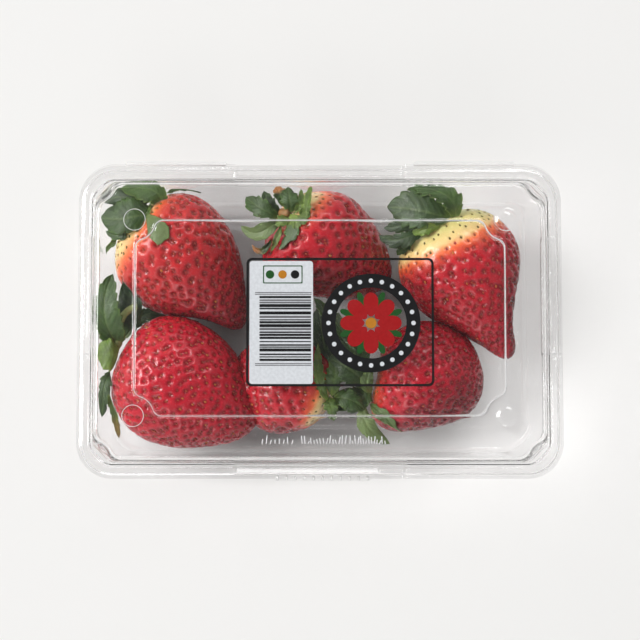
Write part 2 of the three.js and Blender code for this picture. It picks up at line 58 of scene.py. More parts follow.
# The clear pack, as the frame has it
PACK_HALF_X = 93.5
PACK_HALF_Y = 61
RIM_CORNER = 14
TRAY_RIM_Z = 32.6
LID_RIM_Z = 33.8
LID_TOP_Z = 46.2
PANEL_RISE = 1.4
FLOOR_Z = 2.2
LID_BACK_CLEARANCE = 1
VENT_HALF_X = 31.6
VENT_LOW_Y = -12.2
VENT_HIGH_Y = 30.5
VENT_RAMP = 2
VENT_DROP = 2.4
CORNER_ROOM = 12.5
HINGE_Y = 61.05
HINGE_Z = 32.9
HINGE_BEAD_R = 0.75
HINGE_INNER_X = 36
HINGE_OUTER_X = 76
BUTTON_X = 70.6
BUTTON_Y = 37.3
BUTTON_R = 4
DOME_RISE = 1.1
DOME_OVERLAP = 0.2
DOME_SINK = 0.04
WALL_TOP_INSET = 7
WALL_TOP_CORNER = 12
WALL_CORNER_SHRINK = 0.5
TRAY_LEAST_CORNER = 5
LID_LEAST_CORNER = 4
NOTCH_R = (7.1, 7.7)
NOTCH_FILLET = (4.5, 3.5)
NOTCH_STARTS = (4.6, 8.6)
PANEL_STARTS = (9, 23)
TAB_MIDDLE_X = 1
TAB_HALF = 19
TAB_REACH = 0.8
GRIP_RIBS = 11
GRIP_RIB_ENDS = (-61.2, -60.3)
GRIP_RIB_R = 0.42
CREASE_INSET = 23.35
HOLE_RIM_R = 0.13
HOLE_RIM_STEPS = 48

# The drain ribs along the front, as picture positions: first, past the last and pitch
DRAIN_RUNS = ((262, 296, 4.3), (302, 346, 3.1), (350, 386, 2.7))
DRAIN_ROW = 443.4
DRAIN_LENGTHS = (0.8, 3)
DRAIN_R = 0.24

# How finely small round things are made
ROD_SIDES = 12
ROD_RINGS = 8
CREASE_SIDES = 10
SEED_SIDES = 7
SEED_RINGS = 4
STALK_SIDES = 14
STALK_RINGS = 24

# The label
LABEL_SIZE = (71, 48.8)
LABEL_MIDDLE = (7.6, -1.95)
LABEL_CORNER = 2.2
LABEL_Z = 47.66
FILM_THICK = 0.08
PRINT_LEVELS = (0.09, 0.15, 0.21)
FRAME_INSETS = (0.05, 0.95)

# The label's print, as picture positions: boxes go left, top, right, bottom
PANEL_BOX = (249.2, 261, 313, 384.3)
BAR_COLUMN = (259.5, 311)
BAR_ROWS = (296, 361.5)
BAR_WIDTHS = (1.1, 1.5, 2.2, 3.0)
BAR_WIDTH_ODDS = (0.28, 0.32, 0.24, 0.16)
BAR_GAPS = (0.8, 1.3, 2.1)
BAR_GAP_ODDS = (0.4, 0.35, 0.25)
GREY_BAR_SHARE = 0.16
GUARD_COLUMN = (255, 311.5)
GUARD_ROWS = (292.2, 293.9, 363.2, 364.9)
GUARD_WIDTH = 0.8
TAG_OUTER = (263, 265.5, 302.5, 283.5)
TAG_INNER = (264, 266.5, 301.5, 282.5)
DISC_COLUMNS = (270, 282.5, 295)
DISC_ROW = 274.5
BADGE_SPOT = (371, 323)

# The label's discs, and the badge's ring, dots, petals and leaves, in millimetres
DISC_R = 1.6
RING_OUTER_R = 18.7
RING_INNER_R = 13.4
DOT_COUNT = 24
DOT_RING_R = 16.05
DOT_R = 0.85
PETAL_COUNT = 8
PETAL_REACH = 7.0
PETAL_HALVES = (4.6, 2.75)
BADGE_LEAF_REACH = 9.6
BADGE_LEAF_HALVES = (3.0, 1.15)
HEART_R = 2.1

# The fruit
FRUIT_REST_Z = 2.55
CALYX_DIMPLE = 2.5
CALYX_DIMPLE_SPREAD = 0.42
LUMP_WAVES = (3.0, 4.5, 6.5)
LUMP_RISE = 0.42
SEED_HALVES = (0.6, 0.36, 0.26)
FULL_SEED_SPACING = 3.6
SEED_PACKING = 0.866
SEED_SCATTER = 0.2
MEAN_FRUIT_R = 25
GOLDEN_TURN = math.pi * (3 - math.sqrt(5))
# The way that the painted shade on each fruit's far side faces, away from the key light
PAINTED_SHADE_WAY = (0.62, -0.75, 0.05)

# The camera: height of the point it aims at, its distance and elevation, and its focal
# length in picture widths. Then the floor's half size and how far under the pack it lies.
AIM_Z = 33.8
CAMERA_DISTANCE = 650
CAMERA_ELEVATION = math.radians(85)
PICTURE = 640
FOCAL = 1684 / PICTURE
FLOOR_HALF = 3000
FLOOR_BELOW = 0.15


# Each fruit: plan middle, heading of its axis from leaves to tip, tilt of the tip, size,
# how much the tip end narrows, lift and bulges, as in the frame. Then the seeds' spacing
# at the leaf end, middle and tip, and the pale shoulder: how far it reaches from the
# leaves, how much further towards one side, and that side's turn in degrees; palest is the
# ripeness by the leaves, straw the share of paler seeds, deep how dark its ripest tip and
# the painted shade on its far side get, and warm how much orange its red has.
FRUITS = [
    dict(middle=(-51.3, 21.3), heading=-49.4, tilt=-4, size=(63.6, 45.4, 39.5), taper=0.38, lift=0.2,
         bulges=[(-0.4, -0.9, 0, 2.8, 0.6), (-0.62, 0.78, 0, 0.8, 0.5), (-0.7, 0.7, 0, -1.2, 0.5),
                 (-0.7, -0.7, 0, -1.9, 0.5), (0.7, 0.7, 0, -0.8, 0.5), (0.7, -0.7, 0, -5, 0.5),
                 (0.2, -1, 0, 1.5, 0.45)],
         spacing=(4.4, 3.7, 2.3), pale=(0.86, 0.26, 190), palest=0.2, straw=0.06, deep=0.95, warm=0.1),
    dict(middle=(5.2, 29.2), heading=-26.5, tilt=-26, size=(55.7, 43.5, 37.5), taper=0.33, lift=0.8,
         bulges=[(-0.7, 0.7, 0, -3.3, 0.5), (-0.7, -0.7, 0, 2.6, 0.5), (0.7, 0.7, 0, -0.7, 0.5)],
         spacing=(4.6, 3.8, 2.4), pale=(0.45, 0.55, 15), palest=0.22, straw=0.05, deep=0.4, warm=0.03),
    dict(middle=(58.6, 15.2), heading=-64.7, tilt=4, size=(62.7, 49, 39), taper=0.41, lift=0.2,
         bulges=[(0.48, 0.84, 0, -5, 0.34), (0.95, 0.2, 0, 3, 0.4), (-0.7, 0.7, 0, -1.2, 0.5),
                 (-0.7, -0.7, 0, -1.2, 0.5), (0.7, 0.7, 0, -3, 0.5), (0.7, -0.7, 0, -3.7, 0.5)],
         spacing=(4.6, 3.6, 1.9), pale=(1.0, 0.15, 90), palest=0, straw=0.03, deep=1.0, warm=0.03),
    dict(middle=(-52.5, -25.8), heading=-27.9, tilt=0, size=(61.8, 51.2, 40.5), taper=0.26, lift=0,
         bulges=[(0.78, -0.6, 0, 1.1, 0.42), (-0.7, -0.7, 0, -1.7, 0.5), (0.7, -0.7, 0, -1.2, 0.5)],
         spacing=(3.6, 3.4, 2.2), pale=(0.3, 0.12, 180), palest=0.5, straw=0.12, deep=0.45, warm=0),
    dict(middle=(-14, -24.2), heading=152, tilt=-6, size=(42.8, 40.8, 35), taper=0.12, lift=0.2,
         bulges=[(-0.7, 0.7, 0, -3, 0.5), (0.7, 0.7, 0, 1, 0.5)],
         spacing=(4.2, 3.6, 2.4), pale=(0.72, 0.24, 90), palest=0.26, straw=0.06, deep=0.7, warm=0.03),
    dict(middle=(42.1, -20.8), heading=-2.9, tilt=2, size=(43.8, 41.8, 37.5), taper=0.21, lift=0.2,
         bulges=[(-0.7, 0.7, 0, -1.3, 0.5), (-0.7, -0.7, 0, 4.8, 0.5), (0.7, -0.7, 0, 2.2, 0.5),
                 (0.5, 0.85, 0, 2.4, 0.5)],
         spacing=(3.8, 3.5, 2.0), pale=(0.62, 0.12, 200), palest=0.42, straw=0.04, deep=0.9, warm=0),
]


def blade(path, left, right, rise, tone, face=((0, 0, 1), (0, 0, 1)), under=0, dry=0, teeth=1):
    """One row of the leaf table. A path has four places from root to tip, each a picture
    position and a height. Then come the widths left and right of it at a quarter, half and
    three quarters of its length (right None: as on the left), how much the sides rise (below
    0: droop), the tone (0 dark, 1 yellowish), the way its upper side faces at the root and
    at the tip, how much of its pale underside shows, how dry its tip is and how deep its
    teeth are."""
    return dict(path=path, left=left, right=right or left, rise=rise, tone=tone, face=face,
                under=under, dry=dry, teeth=teeth)


# The leaves of each fruit
LEAVES = [
    [
        blade([(156, 213, 34), (138, 216, 40), (120, 219, 39), (101, 217, 35)],
              (6, 5.8, 6.4), (7, 8.5, 7.6), -0.06, 0.2, face=((0, 0, 1), (-0.3, 0, 1))),
        blade([(161, 209, 33), (158, 194, 37), (144, 188, 37.2), (120, 188, 36)],
              (5, 6.4, 5.6), (3.4, 3.8, 3.6), 0.15, 0.42, face=((0.2, 0, 1), (0, 0.2, 1))),
        blade([(158, 211, 31), (140, 202, 35), (122, 197, 35.5), (104, 202, 33)],
              (4, 5, 4.5), None, -0.1, 0.05),
        blade([(153, 222, 37), (157, 228, 41.6), (160, 237, 42.6), (159, 246, 41.6)],
              (3.4, 4.4, 3.4), None, -0.1, 0.5, under=0.6, teeth=0.2),
        blade([(130, 236, 27), (120, 239, 26), (111, 245, 24), (104, 254, 21)],
              (1.3, 1.5, 1), None, 0.2, 0.45, face=((0, -0.3, 1), (0, -0.3, 1))),
        blade([(164, 201, 28), (174, 190, 30), (187, 188.5, 29), (201, 193, 25)],
              (1.1, 1.4, 1), None, 0.2, 0.4, face=((0, 0.3, 1), (0, 0.3, 1))),
        blade([(146, 226, 32), (130, 231, 35), (118, 235, 34.5), (106, 231, 31)],
              (2, 2.6, 2.2), (2, 3, 2.4), 0.2, 0.3, face=((0, -0.3, 1), (0, -0.3, 1))),
    ],
    [
        blade([(278, 217, 38), (268, 212, 42), (257, 206, 41.5), (246, 197, 38)],
              (2.5, 4.2, 3.6), (2.5, 4.2, 3.8), 0.12, 0.3, face=((0, 0, 1), (-0.3, 0, 1))),
        blade([(281, 213, 38), (272, 206, 40), (267, 200, 39.5), (264, 191, 37)],
              (2, 2.4, 2), (2, 3, 2.4), 0.1, 0.05),
        blade([(283, 206, 39), (281, 198, 41), (279, 192, 40.5), (276, 186, 38.5)],
              (2, 2.6, 2.4), (2, 2.6, 2.6), 0.1, 0.2, dry=1),
        blade([(290, 214, 39), (290, 204, 43), (289, 196, 43.2), (288, 187, 41.4)],
              (3, 4, 3.8), (3, 4, 3.4), -0.12, 0.3),
        blade([(303, 232, 38), (305, 216, 42), (308, 201, 42.5), (311, 185, 39.5)],
              (1.8, 2.5, 1.7), None, 0.3, 0.62, face=((-0.3, 0, 1), (-0.5, 0, 1))),
        blade([(297, 217, 39), (299, 206, 41.5), (301, 198, 41), (301, 189, 39)],
              (1.5, 1.9, 1.2), None, 0.2, 0.6),
        blade([(284, 222, 38), (270, 227, 41.5), (257, 233, 40), (241, 226, 36)],
              (2.2, 3.3, 2.6), (2.4, 3.6, 2.2), 0.25, 0.35, face=((0, -0.3, 1), (0, -0.2, 1)), under=0.75),
        blade([(293, 221, 39), (294, 231, 42.3), (291, 240, 41.5), (285, 250, 38)],
              (3.6, 3.6, 2.4), (3.6, 3.8, 2.6), -0.2, 0.3, face=((0, -0.2, 1), (0, -0.4, 1))),
        blade([(297, 219, 39), (303, 222, 41.8), (308, 221, 41.4), (314, 217, 39)],
              (2, 2.2, 1.4), None, 0.1, 0.5),
        blade([(281, 226, 39), (278, 235, 42.2), (275, 243, 41.5), (271, 251, 38)],
              (1.1, 1.3, 0.9), None, 0.3, 0.8, face=((0, -0.3, 1), (0, -0.3, 1)), under=0.6),
        blade([(272, 240, 37), (267, 247, 37), (260, 251, 35.5), (252, 245, 33)],
              (1.2, 1.4, 1.2), None, 0.4, 0.1, face=((0, -0.3, 1), (0, -0.3, 1)), dry=0.8),
        blade([(289, 216, 39), (284, 219, 42.2), (280, 222, 42.3), (275, 225, 41)],
              (2.2, 2.8, 2), None, -0.1, 0.75),
        blade([(291, 216, 39), (295, 221, 42.8), (299, 226, 42.6), (303, 231, 40.6)],
              (2.2, 2.6, 1.8), None, -0.1, 0.7),
    ],
    [
        blade([(450, 219, 37), (430, 213, 41.5), (410, 209, 40), (387, 207, 36)],
              (5.5, 7.8, 7.8), (6.5, 8.6, 8), -0.06, 0.18, face=((0, 0, 1), (-0.2, 0, 1)), teeth=1.9),
        blade([(455, 219, 36), (451, 200, 41), (434, 190, 41), (407, 190, 38)],
              (4.6, 5, 4.2), (4.2, 4.2, 3.4), 0.24, 0.34, face=((0.2, 0, 1), (0, 0.2, 1)), teeth=1.7),
        blade([(440, 226, 38), (430, 228, 40.6), (421, 231, 40), (411, 235, 37)],
              (2.2, 2.6, 2), None, -0.1, 0.8, face=((0, -0.2, 1), (0, -0.2, 1))),
        blade([(425, 232, 36), (410, 236, 38), (396, 240, 36.5), (379, 235, 32)],
              (3, 4.6, 3.4), (2, 2.6, 2.2), -0.1, 0.05, face=((0, -0.2, 1), (-0.2, 0, 1))),
        blade([(412, 238, 35), (406, 243, 35.5), (402, 249, 34), (397, 255, 31)],
              (2.4, 3, 2), None, -0.1, 0.1, face=((-0.2, -0.2, 1), (-0.2, -0.2, 1))),
        blade([(436, 222, 35), (420, 221, 37), (403, 225, 36.5), (384, 228, 33)],
              (3, 3.8, 3), None, -0.1, 0.08),
    ],
    [
        blade([(122, 350, 27), (109, 330, 35), (104, 305, 37), (113, 274, 35)],
              (4.2, 5, 4.2), (6, 7.2, 5.6), 0.14, 0.32, face=((-0.2, 0, 1), (0, 0, 1))),
        blade([(126, 342, 25), (133, 322, 29), (134, 304, 30), (124, 280, 30)],
              (6.5, 8, 6.5), (2.5, 3.2, 3), -0.1, 0, face=((0.2, 0, 1), (0, 0, 1)), teeth=0.3),
        blade([(126, 338, 15), (140, 318, 17), (164, 311, 17), (198, 317, 15)],
              (2.4, 3, 2.4), (3, 3.6, 3), -0.05, 0),
        blade([(124, 353, 30), (114, 354, 35), (105, 354, 35.5), (95, 355, 32)],
              (5.5, 6.9, 6), (5, 6.9, 6), -0.1, 0.66, face=((0, 0, 1), (-0.3, 0, 1))),
        blade([(117, 373, 28), (107, 379, 33), (103, 395, 33), (102, 417, 28)],
              (2.6, 3, 2.6), (2.4, 2.7, 2.4), -0.12, 0.2, face=((-0.2, 0, 1), (-0.2, 0, 1))),
        blade([(109, 388, 24), (112, 404, 24), (116, 420, 20), (119, 438, 15)],
              (1.4, 1.9, 1.5), None, 0.2, 0.5, face=((-0.3, 0, 1), (-0.3, 0, 1)), dry=0.5),
    ],
    [
        blade([(327, 401, 30), (321, 386, 36), (318, 368, 37), (318, 344, 34)],
              (2, 2.4, 1.8), (2, 2.6, 2), -0.1, 0.62, face=((0, 0, 1), (-0.2, 0, 1))),
        blade([(328, 397, 30), (330, 404, 33), (332, 411, 32), (333.6, 421, 28.5)],
              (3, 3.2, 2.2), None, -0.1, 0.5, face=((0, -0.2, 1), (0, -0.2, 1))),
        blade([(333, 398, 29), (343, 398, 34), (353, 401, 34), (365, 410, 30)],
              (3.6, 4.6, 3.4), None, -0.12, 0.25, face=((0, 0, 1), (0.2, 0, 1))),
        blade([(331, 392, 24), (327, 366, 28), (323, 338, 27), (318, 305, 24)],
              (5, 6.5, 5), None, -0.06, 0.04),
        blade([(331, 397, 29), (333, 384, 36), (335, 372, 37.5), (332, 354, 36)],
              (3, 4, 3.4), None, -0.1, 0.42),
    ],
    [
        blade([(370, 388, 27), (358, 376, 36), (345, 366, 38), (327, 358, 36)],
              (4.6, 6, 5), None, -0.1, 0.1),
        blade([(371, 382, 27), (362, 366, 36), (352, 350, 38), (338, 335, 35)],
              (4, 5.5, 4.5), None, -0.1, 0.15),
        blade([(364, 372, 27), (348, 340, 35), (332, 318, 35.5), (314, 298, 33)],
              (3, 4, 3), None, 0.15, 0.3),
        blade([(363, 404, 28), (364, 418, 31.5), (371, 431, 30.5), (390, 444, 25)],
              (2.6, 3.8, 2.8), None, -0.1, 0.55, face=((0, 0, 1), (0, -0.2, 1)), under=0.9),
        blade([(371, 404, 27), (380, 412, 31.5), (390, 420, 30.5), (403, 430, 26)],
              (2.2, 2.9, 2), None, 0.15, 0.35, face=((0, 0, 1), (0, -0.2, 1)), under=0.55),
        blade([(373, 392, 25), (360, 397, 30), (346, 401, 29.5), (332, 403, 26)],
              (4, 5.2, 4.4), None, -0.06, 0.12),
        blade([(372, 380, 24), (366, 391, 29), (358, 402, 28.5), (351, 414, 25)],
              (3.6, 4.6, 3.6), None, -0.06, 0.3),
        blade([(373, 394, 27), (367, 385, 33.5), (368, 376, 35.5), (372, 367, 35)],
              (2.4, 2.8, 2), None, -0.1, 0.4, under=0.5),
    ],
]

# The stalks that show: which fruit each belongs to, its path, its radius at both ends and
# its tone
STALKS = [
    (4, [(121, 356, 27), (118, 336, 31), (122, 318, 33), (137, 306, 33)], (1.7, 1.25), 0.7),
    (2, [(288, 218, 36), (290, 217, 37.5), (291, 216, 38.5), (292, 215, 39.4)], (1.9, 1.7), 0.1),
]


def ease(value, low, high):
    """0 up to low, 1 from high on, and a cubic s-curve 3t^2 - 2t^3 in between."""
    t = np.clip((np.asarray(value, float) - low) / (high - low), 0, 1)
    return t * t * (3 - 2 * t)


def mix(a, b, share):
    """The value at a share of the way from a to b."""
    return a + (np.asarray(b, float) - a) * share


def unit(vectors):
    """Vectors scaled to length 1."""
    vectors = np.asarray(vectors, float)
    return vectors / np.maximum(np.linalg.norm(vectors, axis=-1, keepdims=True), 1e-12)


def spot(right, down, height):
    """The place that shows at a picture position, at a height: the camera's ray cut there."""
    c, s = math.cos(CAMERA_ELEVATION), math.sin(CAMERA_ELEVATION)
    eye = np.array([0, -c * CAMERA_DISTANCE, AIM_Z + s * CAMERA_DISTANCE])
    across, up = right - PICTURE / 2, PICTURE / 2 - down
    ray = np.array([across, up * s + FOCAL * PICTURE * c, up * c - FOCAL * PICTURE * s])
    return eye + ray * (height - eye[2]) / ray[2]


def ring_faces(rows, cols, first=0, flip=False):
    """Quads of a grid whose columns close on themselves, from the index of its first point."""
    start = first + np.arange(rows - 1)[:, None] * cols
    here = np.arange(cols)
    after = (here + 1) % cols
    quads = np.stack([start + here, start + after, start + cols + after, start + cols + here], -1)
    quads = quads.reshape(-1, 4)
    return quads[:, ::-1] if flip else quads


def fan_faces(hub, first, cols, flip=False):
    """Triangles from a hub to a closed ring of points."""
    here = np.arange(cols)
    fan = np.stack([np.full(cols, hub), first + here, first + (here + 1) % cols], -1)
    return fan[:, ::-1] if flip else fan


def capped(rows, cols, flip=False):
    """Faces of a closed round shape: rings from one end to the other, then its two hubs."""
    size = rows * cols
    fans = [fan_faces(size, 0, cols, flip), fan_faces(size + 1, size - cols, cols, not flip)]
    return ring_faces(rows, cols, flip=not flip), np.vstack(fans)


def put_mesh(name, points, *faces, marks=None, uv=None, smooth=True):
    """A mesh object from whole arrays: points in millimetres, faces as arrays of quads and
    triangles, marks as one number a point for each name, uv as one pair a point."""
    mesh = bpy.data.meshes.new(name)
    corners = sum((block.tolist() for block in faces), [])
    mesh.from_pydata((np.asarray(points, float) * MM).tolist(), [], corners)
    for mark, values in (marks or {}).items():
        layer = mesh.attributes.new(mark, "FLOAT", "POINT")
        layer.data.foreach_set("value", np.asarray(values, np.float32).ravel())
    if uv is not None:
        index = np.empty(len(mesh.loops), np.int32)
        mesh.loops.foreach_get("vertex_index", index)
        layer = mesh.uv_layers.new(name="UVMap")
        layer.uv.foreach_set("vector", np.asarray(uv, np.float32)[index].ravel())
    mesh.polygons.foreach_set("use_smooth", np.full(len(mesh.polygons), smooth))
    mesh.update()
    piece = bpy.data.objects.new(name, mesh)
    bpy.context.scene.collection.objects.link(piece)
    return piece


def joined(parts):
    """Meshes put one after another. Each is its points and one array for each kind of face,
    counted from its own first point."""
    firsts = np.cumsum([0] + [len(points) for points, *_ in parts])
    kinds = zip(*[[block + first for block in blocks] for first, (_, *blocks) in zip(firsts, parts)])
    return np.vstack([points for points, *_ in parts]), *[np.vstack(kind) for kind in kinds]


def repeated(faces, count, size):
    """The faces of one shape, again for each of count shapes of size points."""
    return (faces[None] + np.arange(count)[:, None, None] * size).reshape(-1, faces.shape[1])


def finish_piece(piece, material, body, slot, *nodes):
    """Gives a piece its material and its body, and hides the nodes that it stands for. The slot is not used.
    """
    piece.data.materials.append(material)
    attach(piece, body)
    if nodes:
        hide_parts(*nodes)
    return piece


def cut_or_join(piece, tool, operation):
    """The piece with another solid taken away from it or joined to it, as a plain mesh."""
    step = piece.modifiers.new("shape", "BOOLEAN")
    step.operation = operation
    step.solver = "EXACT"
    step.object = tool
    bpy.context.view_layer.update()
    graph = bpy.context.evaluated_depsgraph_get()
    made = bpy.data.meshes.new_from_object(piece.evaluated_get(graph))
    piece.modifiers.clear()
    old = piece.data
    piece.data = made
    bpy.data.meshes.remove(old)
    spare = tool.data
    bpy.data.objects.remove(tool)
    bpy.data.meshes.remove(spare)
    made.polygons.foreach_set("use_smooth", np.full(len(made.polygons), True))


def crisp(piece, angle=38):
    """Keeps the edges sharper than an angle in degrees from being shaded round."""
    piece.data.set_sharp_from_angle(angle=math.radians(angle))
    return piece


class Paint:
    """A material whose nodes are added one by one. What goes into a socket is a number, a
    colour or the output of another node, as (node, output)."""

    def __init__(self, name):
        """Starts the material with a shader, its output and the surface's own coordinates."""
        self.material = bpy.data.materials.new(name)
        self.material.use_nodes = True
        self.tree = self.material.node_tree
        self.tree.nodes.clear()
        self.shader = self.add("ShaderNodeBsdfPrincipled")
        self.out = self.add("ShaderNodeOutputMaterial")
        self.feed(self.out, "Surface", (self.shader, "BSDF"))
        self.place = self.add("ShaderNodeTexCoord")

    def add(self, kind, **values):
        """A new node of a kind, with its properties set."""
        node = self.tree.nodes.new(kind)
        for name, value in values.items():
            setattr(node, name, value)
        return node

    def feed(self, node, socket, value):
        """Links another node's output to a node's socket, or sets the socket to a value."""
        if isinstance(value, tuple) and isinstance(value[0], bpy.types.Node):
            self.tree.links.new(value[0].outputs[value[1]], node.inputs[socket])
        elif hasattr(value, "__len__"):
            node.inputs[socket].default_value = (*value, 1)
        else:
            node.inputs[socket].default_value = value

    def set(self, **values):
        """Feeds the shader's sockets; _ stands for a space in their names."""
        for name, value in values.items():
            self.feed(self.shader, name.replace("_", " "), value)

    def soft_depth(self, weight, scale, reach):
        """Light that spreads under the surface, its reach for red, green and blue."""
        self.set(Subsurface_Weight=weight, Subsurface_Scale=scale)
        self.shader.inputs["Subsurface Radius"].default_value = reach

    def noise(self, scale, detail=2.0, rough=0.5):
        """Soft noise on the object's own coordinates, scale in cells a metre."""
        node = self.add("ShaderNodeTexNoise")
        values = {"Scale": scale, "Detail": detail, "Roughness": rough, "Vector": (self.place, "Object")}
        for name, value in values.items():
            self.feed(node, name, value)
        return node, "Fac"

    def mark(self, name):
        """One of the numbers that put_mesh() stored on the points."""
        return self.add("ShaderNodeAttribute", attribute_name=name), "Fac"

    def sums(self, operation, *values, clamp=False):
        """A sum of numbers and outputs: the named operation on its values in order."""
        node = self.add("ShaderNodeMath", operation=operation, use_clamp=clamp)
        for socket, value in enumerate(values):
            self.feed(node, socket, value)
        return node, "Value"

    def blurred(self, value, scale, detail, spread):
        """A value with noise added, as much above it as below, kept between 0 and 1."""
        drift = self.sums("MULTIPLY_ADD", self.noise(scale, detail), spread, -spread / 2)
        return self.sums("ADD", value, drift, clamp=True)

    def ramp(self, source, *stops):
        """Colours or greys along a value, each stop a place and a colour."""
        node = self.add("ShaderNodeValToRGB")
        self.feed(node, "Fac", source)
        set_stops(node, stops)
        return node, "Color"

    def blend(self, kind, share, a, b):
        """Two colours mixed by a share."""
        node = self.add("ShaderNodeMix", data_type="RGBA", blend_type=kind)
        for name, value in (("Factor", share), ("A", a), ("B", b)):
            self.feed(node, [k for k, s in enumerate(node.inputs) if s.name == name and s.enabled][0], value)
        return node, [k for k, s in enumerate(node.outputs) if s.enabled][0]

    def bump(self, source, height, under=None):
        """Raises the surface by up to a height in metres."""
        node = self.add("ShaderNodeBump")
        values = {"Strength": 1, "Distance": height, "Height": source}
        if under:
            values["Normal"] = under
        for name, value in values.items():
            self.feed(node, name, value)
        return node, "Normal"


def set_stops(node, stops):
    """Gives a colour ramp its stops."""
    points = node.color_ramp.elements
    while len(points) < len(stops):
        points.new(0.5)
    for point, (where, shade) in zip(points, stops):
        point.position = where
        point.color = (*shade, 1) if hasattr(shade, "__len__") else (shade, shade, shade, 1)


def clear_sheet(name, tint, rough, wave, shade, bend=1.5):
    """Clear formed plastic: glass with soft waves in it. Light passes to what is inside,
    and each face that it crosses keeps back a little, so the sheet throws a faint shadow."""
    paint = Paint(name)
    gloss = paint.ramp(paint.noise(60, 3), (0.35, rough), (0.7, rough * 2.2))
    paint.set(Base_Color=tint, Roughness=gloss, IOR=bend, Transmission_Weight=1.0)
    if wave:
        slow = paint.bump(paint.noise(26, 1.0), wave)
        paint.set(Normal=paint.bump(paint.noise(420, 2.0), wave * 0.03, slow))
    through = paint.add("ShaderNodeBsdfTransparent")
    paint.feed(through, "Color", [shade * c for c in tint])
    choice = paint.add("ShaderNodeMixShader")
    paint.feed(choice, 0, (paint.add("ShaderNodeLightPath"), "Is Shadow Ray"))
    paint.feed(choice, 1, (paint.shader, "BSDF"))
    paint.feed(choice, 2, (through, "BSDF"))
    paint.feed(paint.out, "Surface", (choice, "Shader"))
    return paint.material


def highlight_white_paint(name, highlight_white):
    """Pale, half clear and satin white: a painted highlight for the bright lines of light along the lid's
    bends, hole rims and ribs.
    """
    paint = Paint(name)
    shade = paint.ramp(paint.noise(240, 2), (0.3, [c * 0.9 for c in highlight_white]), (0.7, highlight_white))
    gloss = paint.ramp(paint.noise(420, 2), (0.3, 0.24), (0.7, 0.4))
    paint.set(Base_Color=shade, Roughness=gloss, Transmission_Weight=0.35, IOR=1.5)
    return paint.material


def skin_paint(name, settings, deep, warm):
    """Moist fruit skin: colour from the ripeness mark, whose darkest end is also painted shade on
    the fruit's far side, painted shade in the pits and a painted highlight of paler pink on the
    ridges between them, with small blotches, a gloss that varies and a fine grain."""
    paint = Paint(name)
    level = paint.blurred(paint.mark("ripeness"), 190, 3, 0.22)
    orange = np.array(settings.shoulder_orange)
    red = mix(np.array(settings.ripe_red), orange, warm)
    # The darkest stop of this ramp is the ripest tip's colour and also painted shade on the fruit's far side
    base = paint.ramp(
        level, (0.0, settings.shoulder_green), (0.3, settings.shoulder_cream), (0.46, orange),
        (0.62, mix(orange, red, 0.75)), (0.76, red), (1.0, mix(red, np.array(settings.deep_red_and_shade), deep)))
    pit = paint.mark("pit")
    # Painted shade: the skin in the pits is darkened by the pit tint
    pit_shade = paint.blend("MULTIPLY", paint.ramp(pit, (0.2, 0.0), (0.85, 1.0)), base, settings.pit_shade_tint)
    # Painted highlight: the ridges between the pits are lightened to a paler pink
    ridge_highlight = paint.blend("MIX", paint.ramp(pit, (0.0, 0.3), (0.3, 0.0)), pit_shade, settings.ridge_highlight_pink)
    paint.set(Base_Color=paint.blend("MIX", paint.ramp(level, (0.35, 0.0), (0.7, 1.0)), pit_shade, ridge_highlight))
    paint.set(Roughness=paint.ramp(paint.noise(700, 2), (0.3, 0.14), (0.75, 0.34)))
    paint.set(Normal=paint.bump(paint.noise(1500, 3), 0.00006))
    paint.set(IOR=1.38, Coat_Weight=0.35, Coat_Roughness=0.05)
    paint.soft_depth(0.15, 0.0012, (1.0, 0.2, 0.14))
    return paint.material


def seed_paint(settings):
    """Seeds from dark red brown over straw to olive, by the tone mark."""
    paint = Paint("seed_husk")
    level = paint.blurred(paint.mark("tone"), 2600, 1, 0.3)
    stops = (0.0, settings.seed_dark), (0.45, settings.seed_straw), (1.0, settings.seed_olive)
    paint.set(Base_Color=paint.ramp(level, *stops), Roughness=0.5, IOR=1.3)
    return paint.material


def leaf_paint(settings):
    """Leaf green by the tone mark, with a pale midrib and side veins along the leaf's own
    UV, a pale underside, dry brown tips and a soft sheen."""
    paint = Paint("leaf_blade")
    uv = paint.add("ShaderNodeSeparateXYZ")
    paint.feed(uv, "Vector", (paint.place, "UV"))
    stops = (0.0, settings.green_dark), (0.4, settings.green_mid), (1.0, settings.green_yellow)
    green = paint.ramp(paint.mark("tone"), *stops)
    blotch = paint.ramp(paint.noise(260, 4, 0.6), (0.3, 0.6), (0.7, 1.3))
    tinted = paint.blend("MULTIPLY", 1.0, green, blotch)
    under = paint.blend("MIX", paint.mark("under"), tinted, settings.green_under)
    away = paint.sums("ABSOLUTE", paint.sums("SUBTRACT", (uv, "Y"), 0.5))
    slant = paint.sums("MULTIPLY_ADD", away, -VEIN_SLANT, (uv, "X"))
    crest = paint.sums("COSINE", paint.sums("MULTIPLY", slant, VEIN_PAIRS * 2 * math.pi))
    veins = paint.ramp(crest, (0.8, 0.0), (1.0, 0.6))
    lines = paint.sums("MAXIMUM", veins, paint.ramp(away, (0.0, 1.0), (0.05, 0.0)))
    ribbed = paint.blend("MIX", paint.sums("MULTIPLY", lines, 0.24), under, settings.vein)
    paint.set(Base_Color=paint.blend("MIX", paint.mark("dry"), ribbed, settings.dry))
    paint.set(Normal=paint.bump(paint.noise(900, 3), 0.00012))
    paint.set(Roughness=paint.ramp(paint.noise(500, 2), (0.3, 0.42), (0.7, 0.62)))
    paint.soft_depth(0.12, 0.0008, (0.5, 1.0, 0.3))
    return paint.material


def stalk_paint(settings):
    """A stalk: brown to pale green by its tone, streaked along its length."""
    paint = Paint("stalk_rind")
    level = paint.blurred(paint.mark("tone"), 900, 3, 0.4)
    rind = paint.ramp(level, (0.0, settings.dry), (0.4, settings.green_mid), (1.0, settings.stalk))
    paint.set(Base_Color=rind, Normal=paint.bump(paint.noise(1300, 3), 0.00012), Roughness=0.5)
    return paint.material


